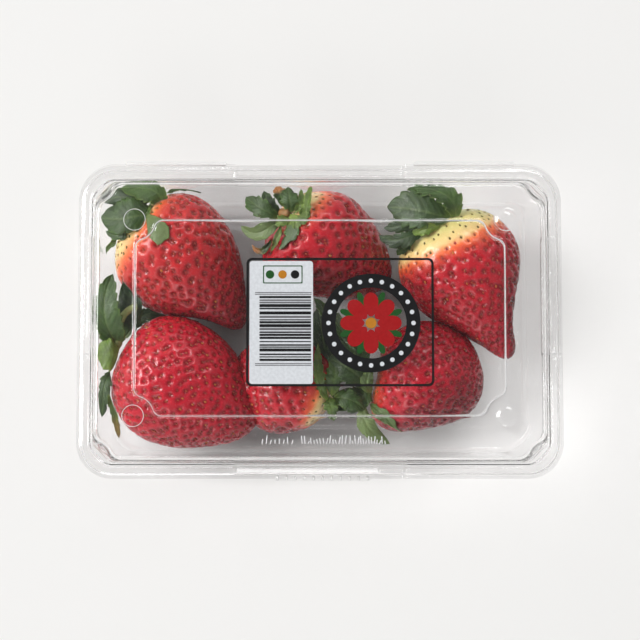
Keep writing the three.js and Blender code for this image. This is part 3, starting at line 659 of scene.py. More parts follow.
def ink_paint(name, ink, rough=0.38):
    """Printed ink: a nearly even colour with a faint mottle and a satin gloss."""
    paint = Paint(name)
    high = [min(1.0, c * 1.05) for c in ink]
    shade = paint.ramp(paint.noise(900, 3), (0.3, [c * 0.9 for c in ink]), (0.7, high))
    gloss = paint.ramp(paint.noise(300, 2), (0.3, rough - 0.06), (0.7, rough + 0.08))
    paint.set(Base_Color=shade, Roughness=gloss, IOR=1.3)
    return paint.material


def soften(rows, reach):
    """A profile of rows [inset, height, vent rise] with each bend rounded: a quadratic
    curve from a point before the bend to a point after it, and a support point beside
    each end."""
    rows = np.asarray(rows, float)
    steps = np.linspace(0, 1, 6)[:, None]
    made = [rows[0]]
    for before, at, after in zip(rows[:-2], rows[1:-1], rows[2:]):
        back, on = before - at, after - at
        run_back, run_on = np.hypot(*back[:2]), np.hypot(*on[:2])
        near, far = min(reach, 0.42 * run_back), min(reach, 0.42 * run_on)
        start, end = at + back * near / run_back, at + on * far / run_on
        if near < 0.3 * run_back:
            made.append(at + back * (near + 0.12) / run_back)
        made.extend((1 - steps) ** 2 * start + 2 * steps * (1 - steps) * at + steps ** 2 * end)
        if far < 0.3 * run_on:
            made.append(at + on * (far + 0.12) / run_on)
    made.append(rows[-1])
    return np.array(made)


def offset_rows(rows, thick):
    """The sheet's second face: each row moved square to the profile by the thickness."""
    run = np.diff(rows[:, :2], axis=0)
    normal = unit(np.stack([run[:, 1], -run[:, 0]], -1))
    before = np.vstack([normal[:1], normal])
    after = np.vstack([normal, normal[-1:]])
    share = thick / (1 + (before * after).sum(1))
    moved = rows.copy()
    moved[:, :2] += share[:, None] * (before + after)
    moved[:, 0] = np.maximum(0, moved[:, 0])
    return moved


CORNER_STEPS = 36


def round_corner(x, y, radius):
    """A quarter circle in the outline's corner, anticlockwise, one row for each inset."""
    turn = np.linspace(0, math.pi / 2, CORNER_STEPS + 1)
    return x - radius + radius * np.cos(turn), y - radius + radius * np.sin(turn)


def notch_corner(x, y, notch, fillet):
    """A corner cut by a circle round the corner point, with a fillet into each side: three
    arcs one after another, each a third of the steps."""
    along = np.sqrt((notch + fillet) ** 2 - fillet ** 2)
    lean = np.arctan2(along, fillet)
    share = np.linspace(0, 3, CORNER_STEPS + 1)
    part = np.minimum(2, share.astype(int))
    t = share - part
    half = math.pi / 2
    centre_x = np.choose(part, [x - fillet, x + 0 * t, x - along])
    centre_y = np.choose(part, [y - along, y + 0 * t, y - fillet])
    radius = np.choose(part, [fillet, notch, fillet])
    turn = np.choose(part, [t * lean, math.pi + mix(lean, half - lean, t), mix(half - lean, half, t)])
    return centre_x + radius * np.cos(turn), centre_y + radius * np.sin(turn)


def outline(half_x, half_y, middle_y, corner_x, corner_y):
    """Closed outlines, one row for each inset, anticlockwise: the four corners mirror one
    another, and each side between them has stations where its vent ramps up and down."""
    rows = len(half_x)
    ramp = np.linspace(0, 1, 7)
    squeeze = np.minimum(1, (half_y - CORNER_ROOM) / (VENT_HIGH_Y + VENT_RAMP))
    xs, ys, vents = [], [], []

    def quadrant(sign_x, sign_y):
        """The corner mirrored by its signs, its points turned round where one sign is below 0."""
        order = slice(None) if sign_x * sign_y > 0 else slice(None, None, -1)
        xs.append(sign_x * corner_x[:, order])
        ys.append(sign_y * corner_y[:, order] + middle_y)
        vents.append(np.zeros_like(corner_x))

    def side(axis, sign, low, high):
        """The stations of a straight side: seven up the vent's ramp, seven down it, and the
        tab's ends at the front. They squeeze together as the outline gets smaller."""
        marks = np.concatenate([low - VENT_RAMP + VENT_RAMP * ramp, high + VENT_RAMP * ramp])
        vent = np.concatenate([ease(ramp, 0, 1), 1 - ease(ramp, 0, 1)])
        if axis == "x" and sign > 0:
            edge = TAB_HALF + np.array([-1.2, -0.6, 0, 0.3])
            tab = np.concatenate([TAB_MIDDLE_X - edge[::-1], TAB_MIDDLE_X + edge])
            marks, vent = np.concatenate([marks, tab]), np.concatenate([vent, np.ones(8)])
            order = np.argsort(marks)
            marks, vent = marks[order], vent[order]
        if sign < 0:
            marks, vent = marks[::-1], vent[::-1]
        spread = marks * squeeze
        straight = np.zeros((rows, len(marks)))
        if axis == "y":
            xs.append(straight + sign * half_x)
            ys.append(spread)
        else:
            xs.append(spread)
            ys.append(straight - sign * half_y + middle_y)
        vents.append(straight + vent)

    quadrant(1, 1)
    side("x", -1, -VENT_HALF_X, VENT_HALF_X)
    quadrant(-1, 1)
    side("y", -1, VENT_LOW_Y, VENT_HIGH_Y)
    quadrant(-1, -1)
    side("x", 1, -VENT_HALF_X, VENT_HALF_X)
    quadrant(1, -1)
    side("y", 1, VENT_LOW_Y, VENT_HIGH_Y)
    return np.hstack(xs), np.hstack(ys), np.hstack(vents)


def tray_outline(inset):
    """The tray's outlines: rounded corners whose radius shrinks slowly down the wall."""
    inset = inset[:, None]
    lower = WALL_TOP_CORNER - WALL_CORNER_SHRINK * (inset - WALL_TOP_INSET)
    upper = mix(RIM_CORNER, WALL_TOP_CORNER, inset / WALL_TOP_INSET)
    radius = np.where(inset < WALL_TOP_INSET, upper, np.maximum(TRAY_LEAST_CORNER, lower))
    x, y = PACK_HALF_X - inset, PACK_HALF_Y - inset
    return outline(x, y, np.zeros_like(x), *round_corner(x, y, radius))


def lid_outline(inset):
    """The lid's outlines: round at the rim, notched at its top edge and round the panel,
    with the opening tab standing out of the front edge."""
    inset = inset[:, None]
    x, y = PACK_HALF_X - inset, PACK_HALF_Y - LID_BACK_CLEARANCE / 2 - inset
    inward = ease(inset, *PANEL_STARTS)
    middle = mix(-0.5 - 0.5 * ease(inset, 1, 8), -0.3, inward)
    round_x, round_y = round_corner(x, y, np.maximum(LID_LEAST_CORNER, RIM_CORNER - inset))
    notch_x, notch_y = notch_corner(x, y, mix(*NOTCH_R, inward), mix(*NOTCH_FILLET, inward))
    cut = ease(inset, *NOTCH_STARTS)
    xs, ys, vents = outline(x, y, middle, mix(round_x, notch_x, cut), mix(round_y, notch_y, cut))
    tab = 1 - ease(abs(xs - TAB_MIDDLE_X), TAB_HALF - 1.2, TAB_HALF)
    ys -= np.where(ys < 0, TAB_REACH * tab * (1 - ease(inset, 0.2, 1.3)), 0)
    return xs, ys, vents


def formed_sheet(name, rows, outline_at, thick, reach):
    """A closed thin shell: for each row of the softened profile the outline at that inset
    is lifted to the row's height, plus its vent rise inside the vents. The second face
    is the same profile offset by the thickness. Fans close both middles."""
    upper = soften(rows, reach)
    points, blocks, count = [], [], 0
    for profile in (upper, offset_rows(upper, thick)):
        xs, ys, vents = outline_at(profile[:, 0])
        zs = profile[:, 1:2] + vents * profile[:, 2:3]
        count = xs.shape[1]
        points.append(np.stack([xs, ys, zs], -1).reshape(-1, 3))
    size = len(points[0])
    hubs = np.array([[0, 0, points[0][-1, 2]], [0, 0, points[1][-1, 2]]])
    rows_made = size // count
    blocks.append(ring_faces(rows_made, count))
    blocks.append(ring_faces(rows_made, count, size, flip=True))
    edge = np.arange(count)
    after = (edge + 1) % count
    blocks.append(np.stack([size + edge, size + after, after, edge], -1))
    blocks.append(fan_faces(2 * size, size - count, count))
    blocks.append(fan_faces(2 * size + 1, 2 * size - count, count, flip=True))
    return crisp(put_mesh(name, np.vstack([*points, hubs]), *blocks))


def turned(name, section, middle, sides=64):
    """A round solid: a closed half section of [radius, height] points, whose first and last
    points are on the axis, carried round it."""
    section = np.asarray(section, float)
    turn = np.arange(sides) * 2 * math.pi / sides
    r, z = section[1:-1, 0][:, None], section[1:-1, 1][:, None]
    ring = np.stack([r * np.cos(turn), r * np.sin(turn), z + 0 * turn], -1).reshape(-1, 3)
    ends = np.array([[0, 0, section[0, 1]], [0, 0, section[-1, 1]]])
    points = np.vstack([ring, ends]) + np.asarray(middle, float)
    return put_mesh(name, points, *capped(len(section) - 2, sides, flip=True))


def capsules(name, starts, ends, radius, flat=1.0):
    """Round-ended rods, all in one mesh: circles carried from one end to the other, whose
    radius follows a half circle at each end."""
    starts, ends = np.asarray(starts, float), np.asarray(ends, float)
    quarter = np.linspace(0, math.pi / 2, ROD_RINGS // 2 + 1)[1:]
    along = np.concatenate([-np.cos(quarter), np.cos(quarter[::-1])])
    size = np.concatenate([np.sin(quarter), np.sin(quarter[::-1])])
    turn = np.arange(ROD_SIDES) * 2 * math.pi / ROD_SIDES
    axis = unit(ends - starts)
    side = unit(np.cross(axis, np.where(abs(axis[:, 2:]) > 0.9, [1, 0, 0], [0, 0, 1])))
    up = np.cross(side, axis) * -1
    base = np.where(np.arange(ROD_RINGS)[None, :, None] < ROD_RINGS / 2, starts[:, None], ends[:, None])
    centre = base + axis[:, None] * (along * radius)[None, :, None]
    circle = (side[:, None, None] * np.cos(turn)[None, None, :, None]
              + up[:, None, None] * np.sin(turn)[None, None, :, None] * flat)
    ring = centre[:, :, None] + circle * (size * radius)[None, :, None, None]
    tips = np.stack([starts - axis * radius, ends + axis * radius], 1)
    points = np.concatenate([ring.reshape(len(starts), -1, 3), tips], 1)
    quads, fans = capped(ROD_RINGS, ROD_SIDES)
    count, size = points.shape[:2]
    return put_mesh(name, points.reshape(-1, 3), repeated(quads, count, size), repeated(fans, count, size))


def crease(name, inset, height, radius):
    """A thin bead along one of the lid's outlines: a circle carried round the outline,
    square to it, a little thicker at the back than at the front."""
    xs, ys, _ = lid_outline(np.array([inset, inset + 0.01]))
    line = np.stack([xs[0], ys[0]], -1)
    keep = np.linalg.norm(line - np.roll(line, 1, axis=0), axis=1) > 0.01
    line = line[keep]
    ahead = unit(np.roll(line, -1, axis=0) - np.roll(line, 1, axis=0))
    out = np.stack([ahead[:, 1], -ahead[:, 0]], -1)
    turn = np.arange(CREASE_SIDES) * 2 * math.pi / CREASE_SIDES
    thick = radius * (1 + 0.35 * line[:, 1:2] / 40)
    flat = line[:, None] + out[:, None] * (thick * np.cos(turn))[..., None]
    points = np.concatenate([flat, (height + thick * np.sin(turn))[..., None]], -1).reshape(-1, 3)
    count = len(line)
    row, col = np.meshgrid(np.arange(count), np.arange(CREASE_SIDES), indexing="ij")
    here, after = row * CREASE_SIDES, (row + 1) % count * CREASE_SIDES
    beside = (col + 1) % CREASE_SIDES
    quads = np.stack([here + col, after + col, after + beside, here + beside], -1)
    piece = put_mesh(name, points, quads.reshape(-1, 4))
    face_out(piece)
    return piece


def make_tray(settings):
    """The tray's shell and its two hinge beads. A row of the profile is an inset from the
    rim's edge, a height and how much the vents raise it."""
    rim = TRAY_RIM_Z
    rows = [
        [0, rim, -VENT_DROP],
        [1.6, rim, -VENT_DROP],
        [2.1, rim + 0.6, -VENT_DROP - 0.6],
        [4.1, rim + 0.6, -VENT_DROP - 0.6],
        [4.6, rim, -VENT_DROP],
        [7, rim, -VENT_DROP],
        [7.5, rim - 1.3, -VENT_DROP + 0.3],
        [10.6, FLOOR_Z + 1.4, 0],
        [11.4, 1.2, 0],
        [12.4, 0.6, 0],
        [19.6, 0.6, 0],
        [21.4, FLOOR_Z, 0],
        [30, FLOOR_Z, 0],
    ]
    thick, reach = settings.sheet / MM, settings.bend / MM
    plastic = clear_sheet(
        "clear_tray_sheet", settings.tray_tint, settings.gloss, settings.wave, settings.tray_shade)
    tray = formed_sheet("tray_shell", rows, tray_outline, thick, reach)
    finish_piece(tray, plastic, "tray", "clear_tray", "tray")
    starts = [[-HINGE_OUTER_X + 1, HINGE_Y, HINGE_Z], [HINGE_INNER_X + 1, HINGE_Y, HINGE_Z]]
    ends = [[-HINGE_INNER_X - 1, HINGE_Y, HINGE_Z], [HINGE_OUTER_X - 1, HINGE_Y, HINGE_Z]]
    beads = capsules("hinge_beads", starts, ends, HINGE_BEAD_R)
    frosted = clear_sheet("hinge_frosting", settings.tray_tint, 0.3, 0, settings.tray_shade, 1.2)
    finish_piece(beads, frosted, "tray", "clear_tray")


def button_section(rise, radius, thick):
    """Half section of a hollow dome: rise (1 - share^2.4) out, and the same back under it."""
    share = np.linspace(0, 1, 16)
    swell = rise * (1 - share ** 2.4)
    outer = np.stack([radius * share, swell - DOME_SINK], -1)
    inner = outer - [0, thick - 2 * DOME_SINK]
    section = np.vstack([outer, inner[::-1]])
    section[0, 0] = section[-1, 0] = 0
    return section[::-1]


def make_lid(settings):
    """The lid's shell with its two holes and two domes, and the ribs on its tab."""
    rim = LID_RIM_Z
    rows = [
        [0, rim, 0],
        [1.4, rim, 0],
        [1.8, rim + 1.1, 0.2],
        [4.7, rim + 1.1, 1.6],
        [5.7, rim + 5, 0.6],
        [6.7, rim + 5, 1.4],
        [7.6, LID_TOP_Z - 1.7, 0],
        [8.3, LID_TOP_Z - 0.5, 0],
        [9.3, LID_TOP_Z, 0],
        [22.7, LID_TOP_Z, 0],
        [23.7, LID_TOP_Z + PANEL_RISE, 0],
        [30, LID_TOP_Z + PANEL_RISE, 0],
    ]
    thick, reach = settings.sheet / MM, settings.bend / MM
    plastic = clear_sheet(
        "clear_lid_sheet", settings.lid_tint, settings.gloss, settings.wave, settings.lid_shade)
    lid = formed_sheet("lid_shell", rows, lid_outline, thick, reach)
    low, high = LID_TOP_Z - 2, LID_TOP_Z + 2
    drum = [[0, low], [BUTTON_R, low], [BUTTON_R, high], [0, high]]
    cap = button_section(DOME_RISE, BUTTON_R + DOME_OVERLAP, thick)
    for y in (-BUTTON_Y, BUTTON_Y):
        for x in (-BUTTON_X, BUTTON_X):
            cut_or_join(lid, turned("cutter", drum, (x, y, 0)), "DIFFERENCE")
        cut_or_join(lid, turned("dome", cap, (BUTTON_X, y, LID_TOP_Z)), "UNION")
    finish_piece(crisp(lid), plastic, "lid", "clear_lid", "lid")
    pitch = 2 * TAB_HALF / GRIP_RIBS
    at = TAB_MIDDLE_X + (np.arange(GRIP_RIBS) - (GRIP_RIBS - 1) / 2) * pitch
    level = np.full(GRIP_RIBS, LID_RIM_Z + 0.02)
    starts, ends = (np.stack([at, np.full(GRIP_RIBS, y), level], -1) for y in GRIP_RIB_ENDS)
    ribs = capsules("tab_ribs", starts, ends, GRIP_RIB_R, 0.6)
    finish_piece(ribs, plastic, "lid", "clear_lid")

    # Painted highlight: the crease round the panel, the hole rims and the drain ribs are pale white pieces
    # for the bright lines of light along the sheet
    highlight_white = highlight_white_paint("milky_crease", tuple(settings.crease_highlight_white))
    edge = crease("panel_crease", CREASE_INSET, LID_TOP_Z + PANEL_RISE - 0.18, settings.crease / MM)
    finish_piece(edge, highlight_white, "lid", "clear_lid")
    turn = np.arange(HOLE_RIM_STEPS) * 2 * math.pi / HOLE_RIM_STEPS
    around = np.stack([np.cos(turn), np.sin(turn), 0 * turn], -1) * (BUTTON_R + 0.08)
    holes = [np.array([-BUTTON_X, y, LID_TOP_Z]) for y in (-BUTTON_Y, BUTTON_Y)]
    hoops = np.vstack([around + hole for hole in holes])
    after = np.vstack([np.roll(around, -1, axis=0) + hole for hole in holes])
    finish_piece(capsules("hole_rims", hoops, after, HOLE_RIM_R), highlight_white, "lid", "clear_lid")
    rng = np.random.default_rng(12)
    marks = np.concatenate([np.arange(*run) for run in DRAIN_RUNS])
    low = np.array([spot(x, DRAIN_ROW, LID_TOP_Z)[:2] for x in marks])
    tall = rng.uniform(*DRAIN_LENGTHS, len(marks))
    level = np.full(len(marks), LID_TOP_Z + 0.02)
    starts = np.column_stack([low + rng.uniform(-0.1, 0.1, low.shape), level])
    ends = np.column_stack([low + np.stack([rng.uniform(-0.3, 0.5, len(marks)), tall], -1), level])
    drains = capsules("drain_ribs", starts, ends, DRAIN_R, 0.8)
    finish_piece(drains, highlight_white, "lid", "clear_lid")


def fruit_axes(fruit):
    """The fruit's axis towards its tip, its left side and its top, as rows."""
    turn, tilt = math.radians(fruit["heading"]), math.radians(fruit["tilt"])
    along = np.array([math.cos(turn) * math.cos(tilt), math.sin(turn) * math.cos(tilt), math.sin(tilt)])
    left = np.array([-math.sin(turn), math.cos(turn), 0])
    return np.stack([along, left, np.cross(along, left)])


def girth(fruit, polar):
    """The radius share: sin(p) (1 + c cos(p)), divided by its own peak."""
    c = fruit["taper"]
    widest = (math.sqrt(1 + 8 * c * c) - 1) / (4 * c)
    peak = math.sqrt(1 - widest * widest) * (1 + c * widest)
    return np.sin(polar) * (1 + c * np.cos(polar)) / peak


def bulge_rise(fruit, out):
    """The sum of the bulges: each a gain times exp(-(angle to its direction / spread)^2)."""
    rise = np.zeros(out.shape[:-1])
    for *way, gain, spread in fruit["bulges"]:
        gap = np.arccos(np.clip(out @ unit(way), -1, 1))
        rise += gain * np.exp(-((gap / spread) ** 2))
    return rise


def fruit_local(fruit, polar, turn):
    """The smooth skin in the fruit's own directions: (-L/2 cos p, W/2 g cos t, H/2 g sin t)
    with g the radius share, a dimple of 2.5 exp(-(p/0.42)^2) at the leaf end, and the
    bulges along the outward direction."""
    length, width, height = (size / 2 for size in fruit["size"])
    g = girth(fruit, polar)
    dimple = CALYX_DIMPLE * np.exp(-((polar / CALYX_DIMPLE_SPREAD) ** 2))
    across, over = width * g * np.cos(turn), height * g * np.sin(turn)
    point = np.stack([dimple - length * np.cos(polar), across, over], -1)
    out = np.stack([-np.cos(polar), np.sin(polar) * np.cos(turn), np.sin(polar) * np.sin(turn)], -1)
    return point + out * bulge_rise(fruit, out)[..., None]


def fruit_middle(fruit):
    """The fruit's middle, at the height that rests its lowest point on the floor."""
    polar = np.arange(1, 14) / 14 * math.pi
    under = fruit_local(fruit, polar, np.full(13, -math.pi / 2)) @ fruit_axes(fruit)
    return np.array([*fruit["middle"], FRUIT_REST_Z + fruit["lift"] - min(0, under[:, 2].min())])


def placed(fruit, local):
    """Points from a fruit's own directions into the pack."""
    return fruit_middle(fruit) + local @ fruit_axes(fruit)


def fruit_gap(fruit, points):
    """How far points are outside a fruit, and the way straight out. The girth at each point's
    own length along the axis turns the fruit into a unit ball, and the gap is measured
    along the line from the fruit's middle."""
    local = (points - fruit_middle(fruit)) @ fruit_axes(fruit).T
    length, width, height = (size / 2 for size in fruit["size"])
    polar = np.arccos(np.clip(-local[..., 0] / length, -0.999, 0.999))
    fat = girth(fruit, polar) / np.sin(polar)
    x, y, z = local[..., 0], local[..., 1], local[..., 2]
    ball = np.stack([x / length, y / (width * fat), z / (height * fat)], -1)
    far = np.linalg.norm(ball, axis=-1)
    reach = np.linalg.norm(local, axis=-1)
    gap = reach * (1 - 1 / np.maximum(far, 1e-6)) - bulge_rise(fruit, unit(ball))
    return gap, unit(local) @ fruit_axes(fruit)


def grid_normals(points):
    """Outward directions of a grid of rows from the leaf end to the tip, closed round."""
    down = np.gradient(points, axis=0)
    round_ = np.roll(points, -1, axis=1) - np.roll(points, 1, axis=1)
    return unit(np.cross(round_, down))


def seed_places(fruit, rng):
    """Seeds in a golden-angle spiral. The count up to each polar angle is the skin's area
    there divided by the area of a seed's cell, whose spacing changes from end to end. Each
    seed is then off its place by a normal draw times the spacing."""
    polar = np.linspace(0.3, math.pi - 0.04, 500)
    line = fruit_local(fruit, polar, np.zeros(500))
    step = np.linalg.norm(np.gradient(line, axis=0), axis=1)
    width, height = (size / 2 for size in fruit["size"][1:])
    belt = 2 * math.pi * girth(fruit, polar) * math.sqrt((width ** 2 + height ** 2) / 2)
    spacing = np.interp(polar, [0.4, 1.5, 2.9], fruit["spacing"])
    total = np.cumsum(belt * step / (SEED_PACKING * spacing ** 2))
    number = np.arange(int(total[-1])) + 0.5
    at = np.interp(number, total, polar)
    turn = number * GOLDEN_TURN
    cell = np.interp(at, polar, spacing)
    at = at + rng.normal(0, SEED_SCATTER, len(at)) * cell / MEAN_FRUIT_R
    slim = np.maximum(0.2, girth(fruit, at))
    turn = turn + rng.normal(0, SEED_SCATTER, len(at)) * cell / (MEAN_FRUIT_R * slim)
    return at, turn, cell


def make_fruit(number, fruit, settings, material, seed_material):
    """One strawberry: the smooth skin with slow lumps, a pit round each seed of depth
    exp(-(distance / 0.4 spacing)^2.4), and the seeds lying in their pits."""
    rng = np.random.default_rng(700 + number)
    rows, cols = settings.rows, settings.columns
    polar = (np.arange(rows) + 0.5) / rows * math.pi
    turn = np.arange(cols) / cols * 2 * math.pi
    grid_polar, grid_turn = np.meshgrid(polar, turn, indexing="ij")
    base = fruit_local(fruit, grid_polar, grid_turn)
    normal = grid_normals(base)
    out = unit(base)
    lump = np.zeros(base.shape[:2])
    for wave in LUMP_WAVES:
        for way in unit(rng.normal(size=(3, 3))):
            lump += LUMP_RISE / wave * np.sin(wave * (out @ way) + rng.uniform(0, 6.28))
    at, spin, cell = seed_places(fruit, rng)
    seeds = fruit_local(fruit, at, spin)
    reach, extra, toward = fruit["pale"]
    edge = reach + extra * np.cos(spin - math.radians(toward))
    ripeness = ease(at, edge - 0.3, edge + 0.25)
    depth = settings.pit_depth * cell * rng.uniform(0.8, 1.15, len(cell)) * mix(0.35, 1, ripeness)
    wide = cell * mix(0.2, 0.32, ripeness)
    pit = np.zeros(base.shape[:2])
    for row in range(0, rows, 10):
        gap = np.linalg.norm(base[row:row + 10, :, None] - seeds[None, None], axis=-1)
        bowl = np.exp(-((gap / wide) ** 2.4))
        pit[row:row + 10] = (bowl * depth).sum(-1)
    skin = base + normal * (lump - pit)[..., None]
    dent = np.clip(pit / (settings.pit_depth * 3.4), 0, 1)
    edge = reach + extra * np.cos(grid_turn - math.radians(toward))
    ripe = ease(grid_polar, edge - 0.42, edge + 0.3)
    # Painted shade: the side of each fruit that faces away from the key light is pushed towards the darkest
    # red
    painted_far_shade = ease(normal @ fruit_axes(fruit) @ unit(PAINTED_SHADE_WAY), 0.1, 0.8)
    tip_and_shade = np.maximum(ease(grid_polar, 0.8, 2.9) * 0.6, painted_far_shade)
    ripe = mix(fruit["palest"], 0.76, ripe) + 0.24 * tip_and_shade * ripe
    leaf_end = skin[0].mean(0) * [1, 0, 0] + [0.1, 0, 0]
    tip = skin[-1].mean(0)
    points = placed(fruit, np.vstack([skin.reshape(-1, 3), leaf_end, tip]))
    # The ripeness mark carries the ripeness and also the painted shade on the fruit's far side
    marks = {
        "ripeness": np.append(ripe.ravel(), [ripe[0].mean(), 1]),
        "pit": np.append(dent.ravel(), [0, 0]),
    }
    body = put_mesh(f"berry_{number}", points, *capped(rows, cols), marks=marks)
    finish_piece(body, material, "tray", "fruit_skin", "strawberries")
    make_seeds(number, fruit, (at, spin, cell, depth), (base, normal, lump), rng, seed_material)


def make_seeds(number, fruit, seeds, surface, rng, material):
    """The seeds of one fruit: small teardrops, an ellipsoid whose width shrinks towards one
    end, lying along the fruit in their pits."""
    at, spin, cell, depth = seeds
    base, normal, lump = surface
    rows, cols = base.shape[:2]
    row = np.clip((at / math.pi * rows - 0.5).round().astype(int), 0, rows - 1)
    col = (spin / (2 * math.pi) * cols).round().astype(int) % cols
    up = normal[row, col]
    ahead = fruit_local(fruit, at + 0.02, spin) - fruit_local(fruit, at - 0.02, spin)
    ahead = unit(ahead - up * (ahead * up).sum(-1, keepdims=True))
    side = np.cross(up, ahead)
    middle = fruit_local(fruit, at, spin) + up * (lump[row, col] - depth + 0.06)[:, None]
    rings = np.linspace(0, math.pi, SEED_RINGS + 2)[1:-1]
    turn = np.arange(SEED_SIDES) * 2 * math.pi / SEED_SIDES
    long_, around = np.meshgrid(rings, turn, indexing="ij")
    width = np.sin(long_) * (1 - 0.3 * np.cos(long_))
    shape = np.stack([-np.cos(long_), width * np.cos(around), width * np.sin(around)], -1).reshape(-1, 3)
    shape = np.vstack([shape, [[-1, 0, 0], [1, 0, 0]]])
    scale = np.clip(cell, 2, 4) / FULL_SEED_SPACING * rng.uniform(0.85, 1.15, len(cell))
    body = shape[None] * np.array(SEED_HALVES) * scale[:, None, None]
    points = middle[:, None] + body @ np.stack([ahead, side, up], 1)
    quads, fans = capped(SEED_RINGS, SEED_SIDES)
    count, size = points.shape[:2]
    reach, extra, toward = fruit["pale"]
    edge = reach + extra * np.cos(spin - math.radians(toward))
    green = 1 - ease(at, edge - 0.25, edge + 0.15)
    straw = rng.uniform(0, 0.5, len(at)) < fruit["straw"] * 0.5
    tone = np.where(green > 0.5, 1.0, np.where(straw, 0.45, 0.08)) + rng.uniform(-0.06, 0.06, len(at))
    piece = put_mesh(
        f"seeds_{number}", placed(fruit, points.reshape(-1, 3)),
        repeated(quads, count, size), repeated(fans, count, size),
        marks={"tone": np.repeat(np.clip(tone, 0, 1), size)})
    finish_piece(piece, material, "tray", "fruit_seed")


def make_all_fruit(settings):
    """The six strawberries, each with its own skin."""
    seeds = seed_paint(settings)
    for number, fruit in enumerate(FRUITS, 1):
        skin = skin_paint(f"skin_{number}", settings, fruit["deep"], fruit["warm"])
        make_fruit(number, fruit, settings, skin, seeds)


def bezier(points, share):
    """The cubic curve through a path's first and last place, drawn to the two between:
    each share weighs the four places by the Bernstein polynomials."""
    a, b, c, d = (np.asarray(p, float) for p in points)
    u = np.asarray(share)[:, None]
    return (1 - u) ** 3 * a + 3 * u * (1 - u) ** 2 * b + 3 * u * u * (1 - u) * c + u ** 3 * d


def path_through(places):
    """The four control points whose cubic passes through all four places, at thirds."""
    p = np.array([spot(*place) for place in places])
    b = (-5 * p[0] + 18 * p[1] - 9 * p[2] + 2 * p[3]) / 6
    c = (2 * p[0] - 9 * p[1] + 18 * p[2] - 5 * p[3]) / 6
    return p[0], b, c, p[3]


def clear_of_fruit(points, room):
    """Points moved straight out of every fruit that they are in or nearer to than room."""
    for _ in range(2):
        for fruit in FRUITS:
            gap, way = fruit_gap(fruit, points)
            points = points + way * np.maximum(0, room - gap)[..., None]
    return points


def inside_pack(points):
    """Points kept in the pack: under the lid's top, lower near its walls and notched
    corners, and off the walls."""
    x, y, z = points[..., 0], points[..., 1], points[..., 2]
    near = np.minimum(PACK_HALF_X - abs(x), PACK_HALF_Y - 1 - abs(y))
    corner = np.hypot(PACK_HALF_X - NOTCH_MIDDLE[0] - abs(x), PACK_HALF_Y - NOTCH_MIDDLE[1] - abs(y))
    open_ = ease(near, *WALL_ROOM) * ease(corner, *NOTCH_ROOM)
    z = np.minimum(z, mix(LOW_ROOF, HIGH_ROOF, open_))
    inset = np.interp(z, WALL_HEIGHTS, WALL_INSETS)
    x = np.clip(x, inset - PACK_HALF_X, PACK_HALF_X - inset)
    y = np.clip(y, inset - PACK_HALF_Y + 1, PACK_HALF_Y - 1 - inset)
    return np.stack([x, y, z], -1)


# The room that the leaves have: the lid's underside by its walls and in the middle, how far
# the walls stand in from the rim at each height, and where the roof rises off the notched
# corners and the walls
LOW_ROOF = 37.6
HIGH_ROOF = 44.6
WALL_HEIGHTS = (3, 31, 33.6, 34.3, 37.9, 38.5, 45)
WALL_INSETS = (11.2, 8.2, 7.4, 6.4, 6.4, 8.2, 10)
NOTCH_MIDDLE = (8.5, 9.5)
NOTCH_ROOM = (8.4, 10.4)
WALL_ROOM = (8.6, 10.4)
LEAF_ROOM = 0.55
LEAF_ROWS = 96
LEAF_COLS = 19
TOOTH_PITCH = 3.8
VEIN_PAIRS = 8
VEIN_SLANT = 0.62


def blade_widths(share, wide):
    """The blade's width along one side: straight lines through its widths at quarters of
    its length, closing at the tip, then rounded by a running mean of nine rows."""
    a, b, c = wide
    line = np.interp(share, [0, 0.06, 0.25, 0.5, 0.75, 0.92, 1], [0.5, 0.45 * a, a, b, c, 0.62 * c, 0.03])
    soft = np.convolve(np.pad(line, 4, "edge"), np.ones(9) / 9, "valid")
    return soft * (1 - ease(share, 0.93, 1)) + line * ease(share, 0.93, 1)


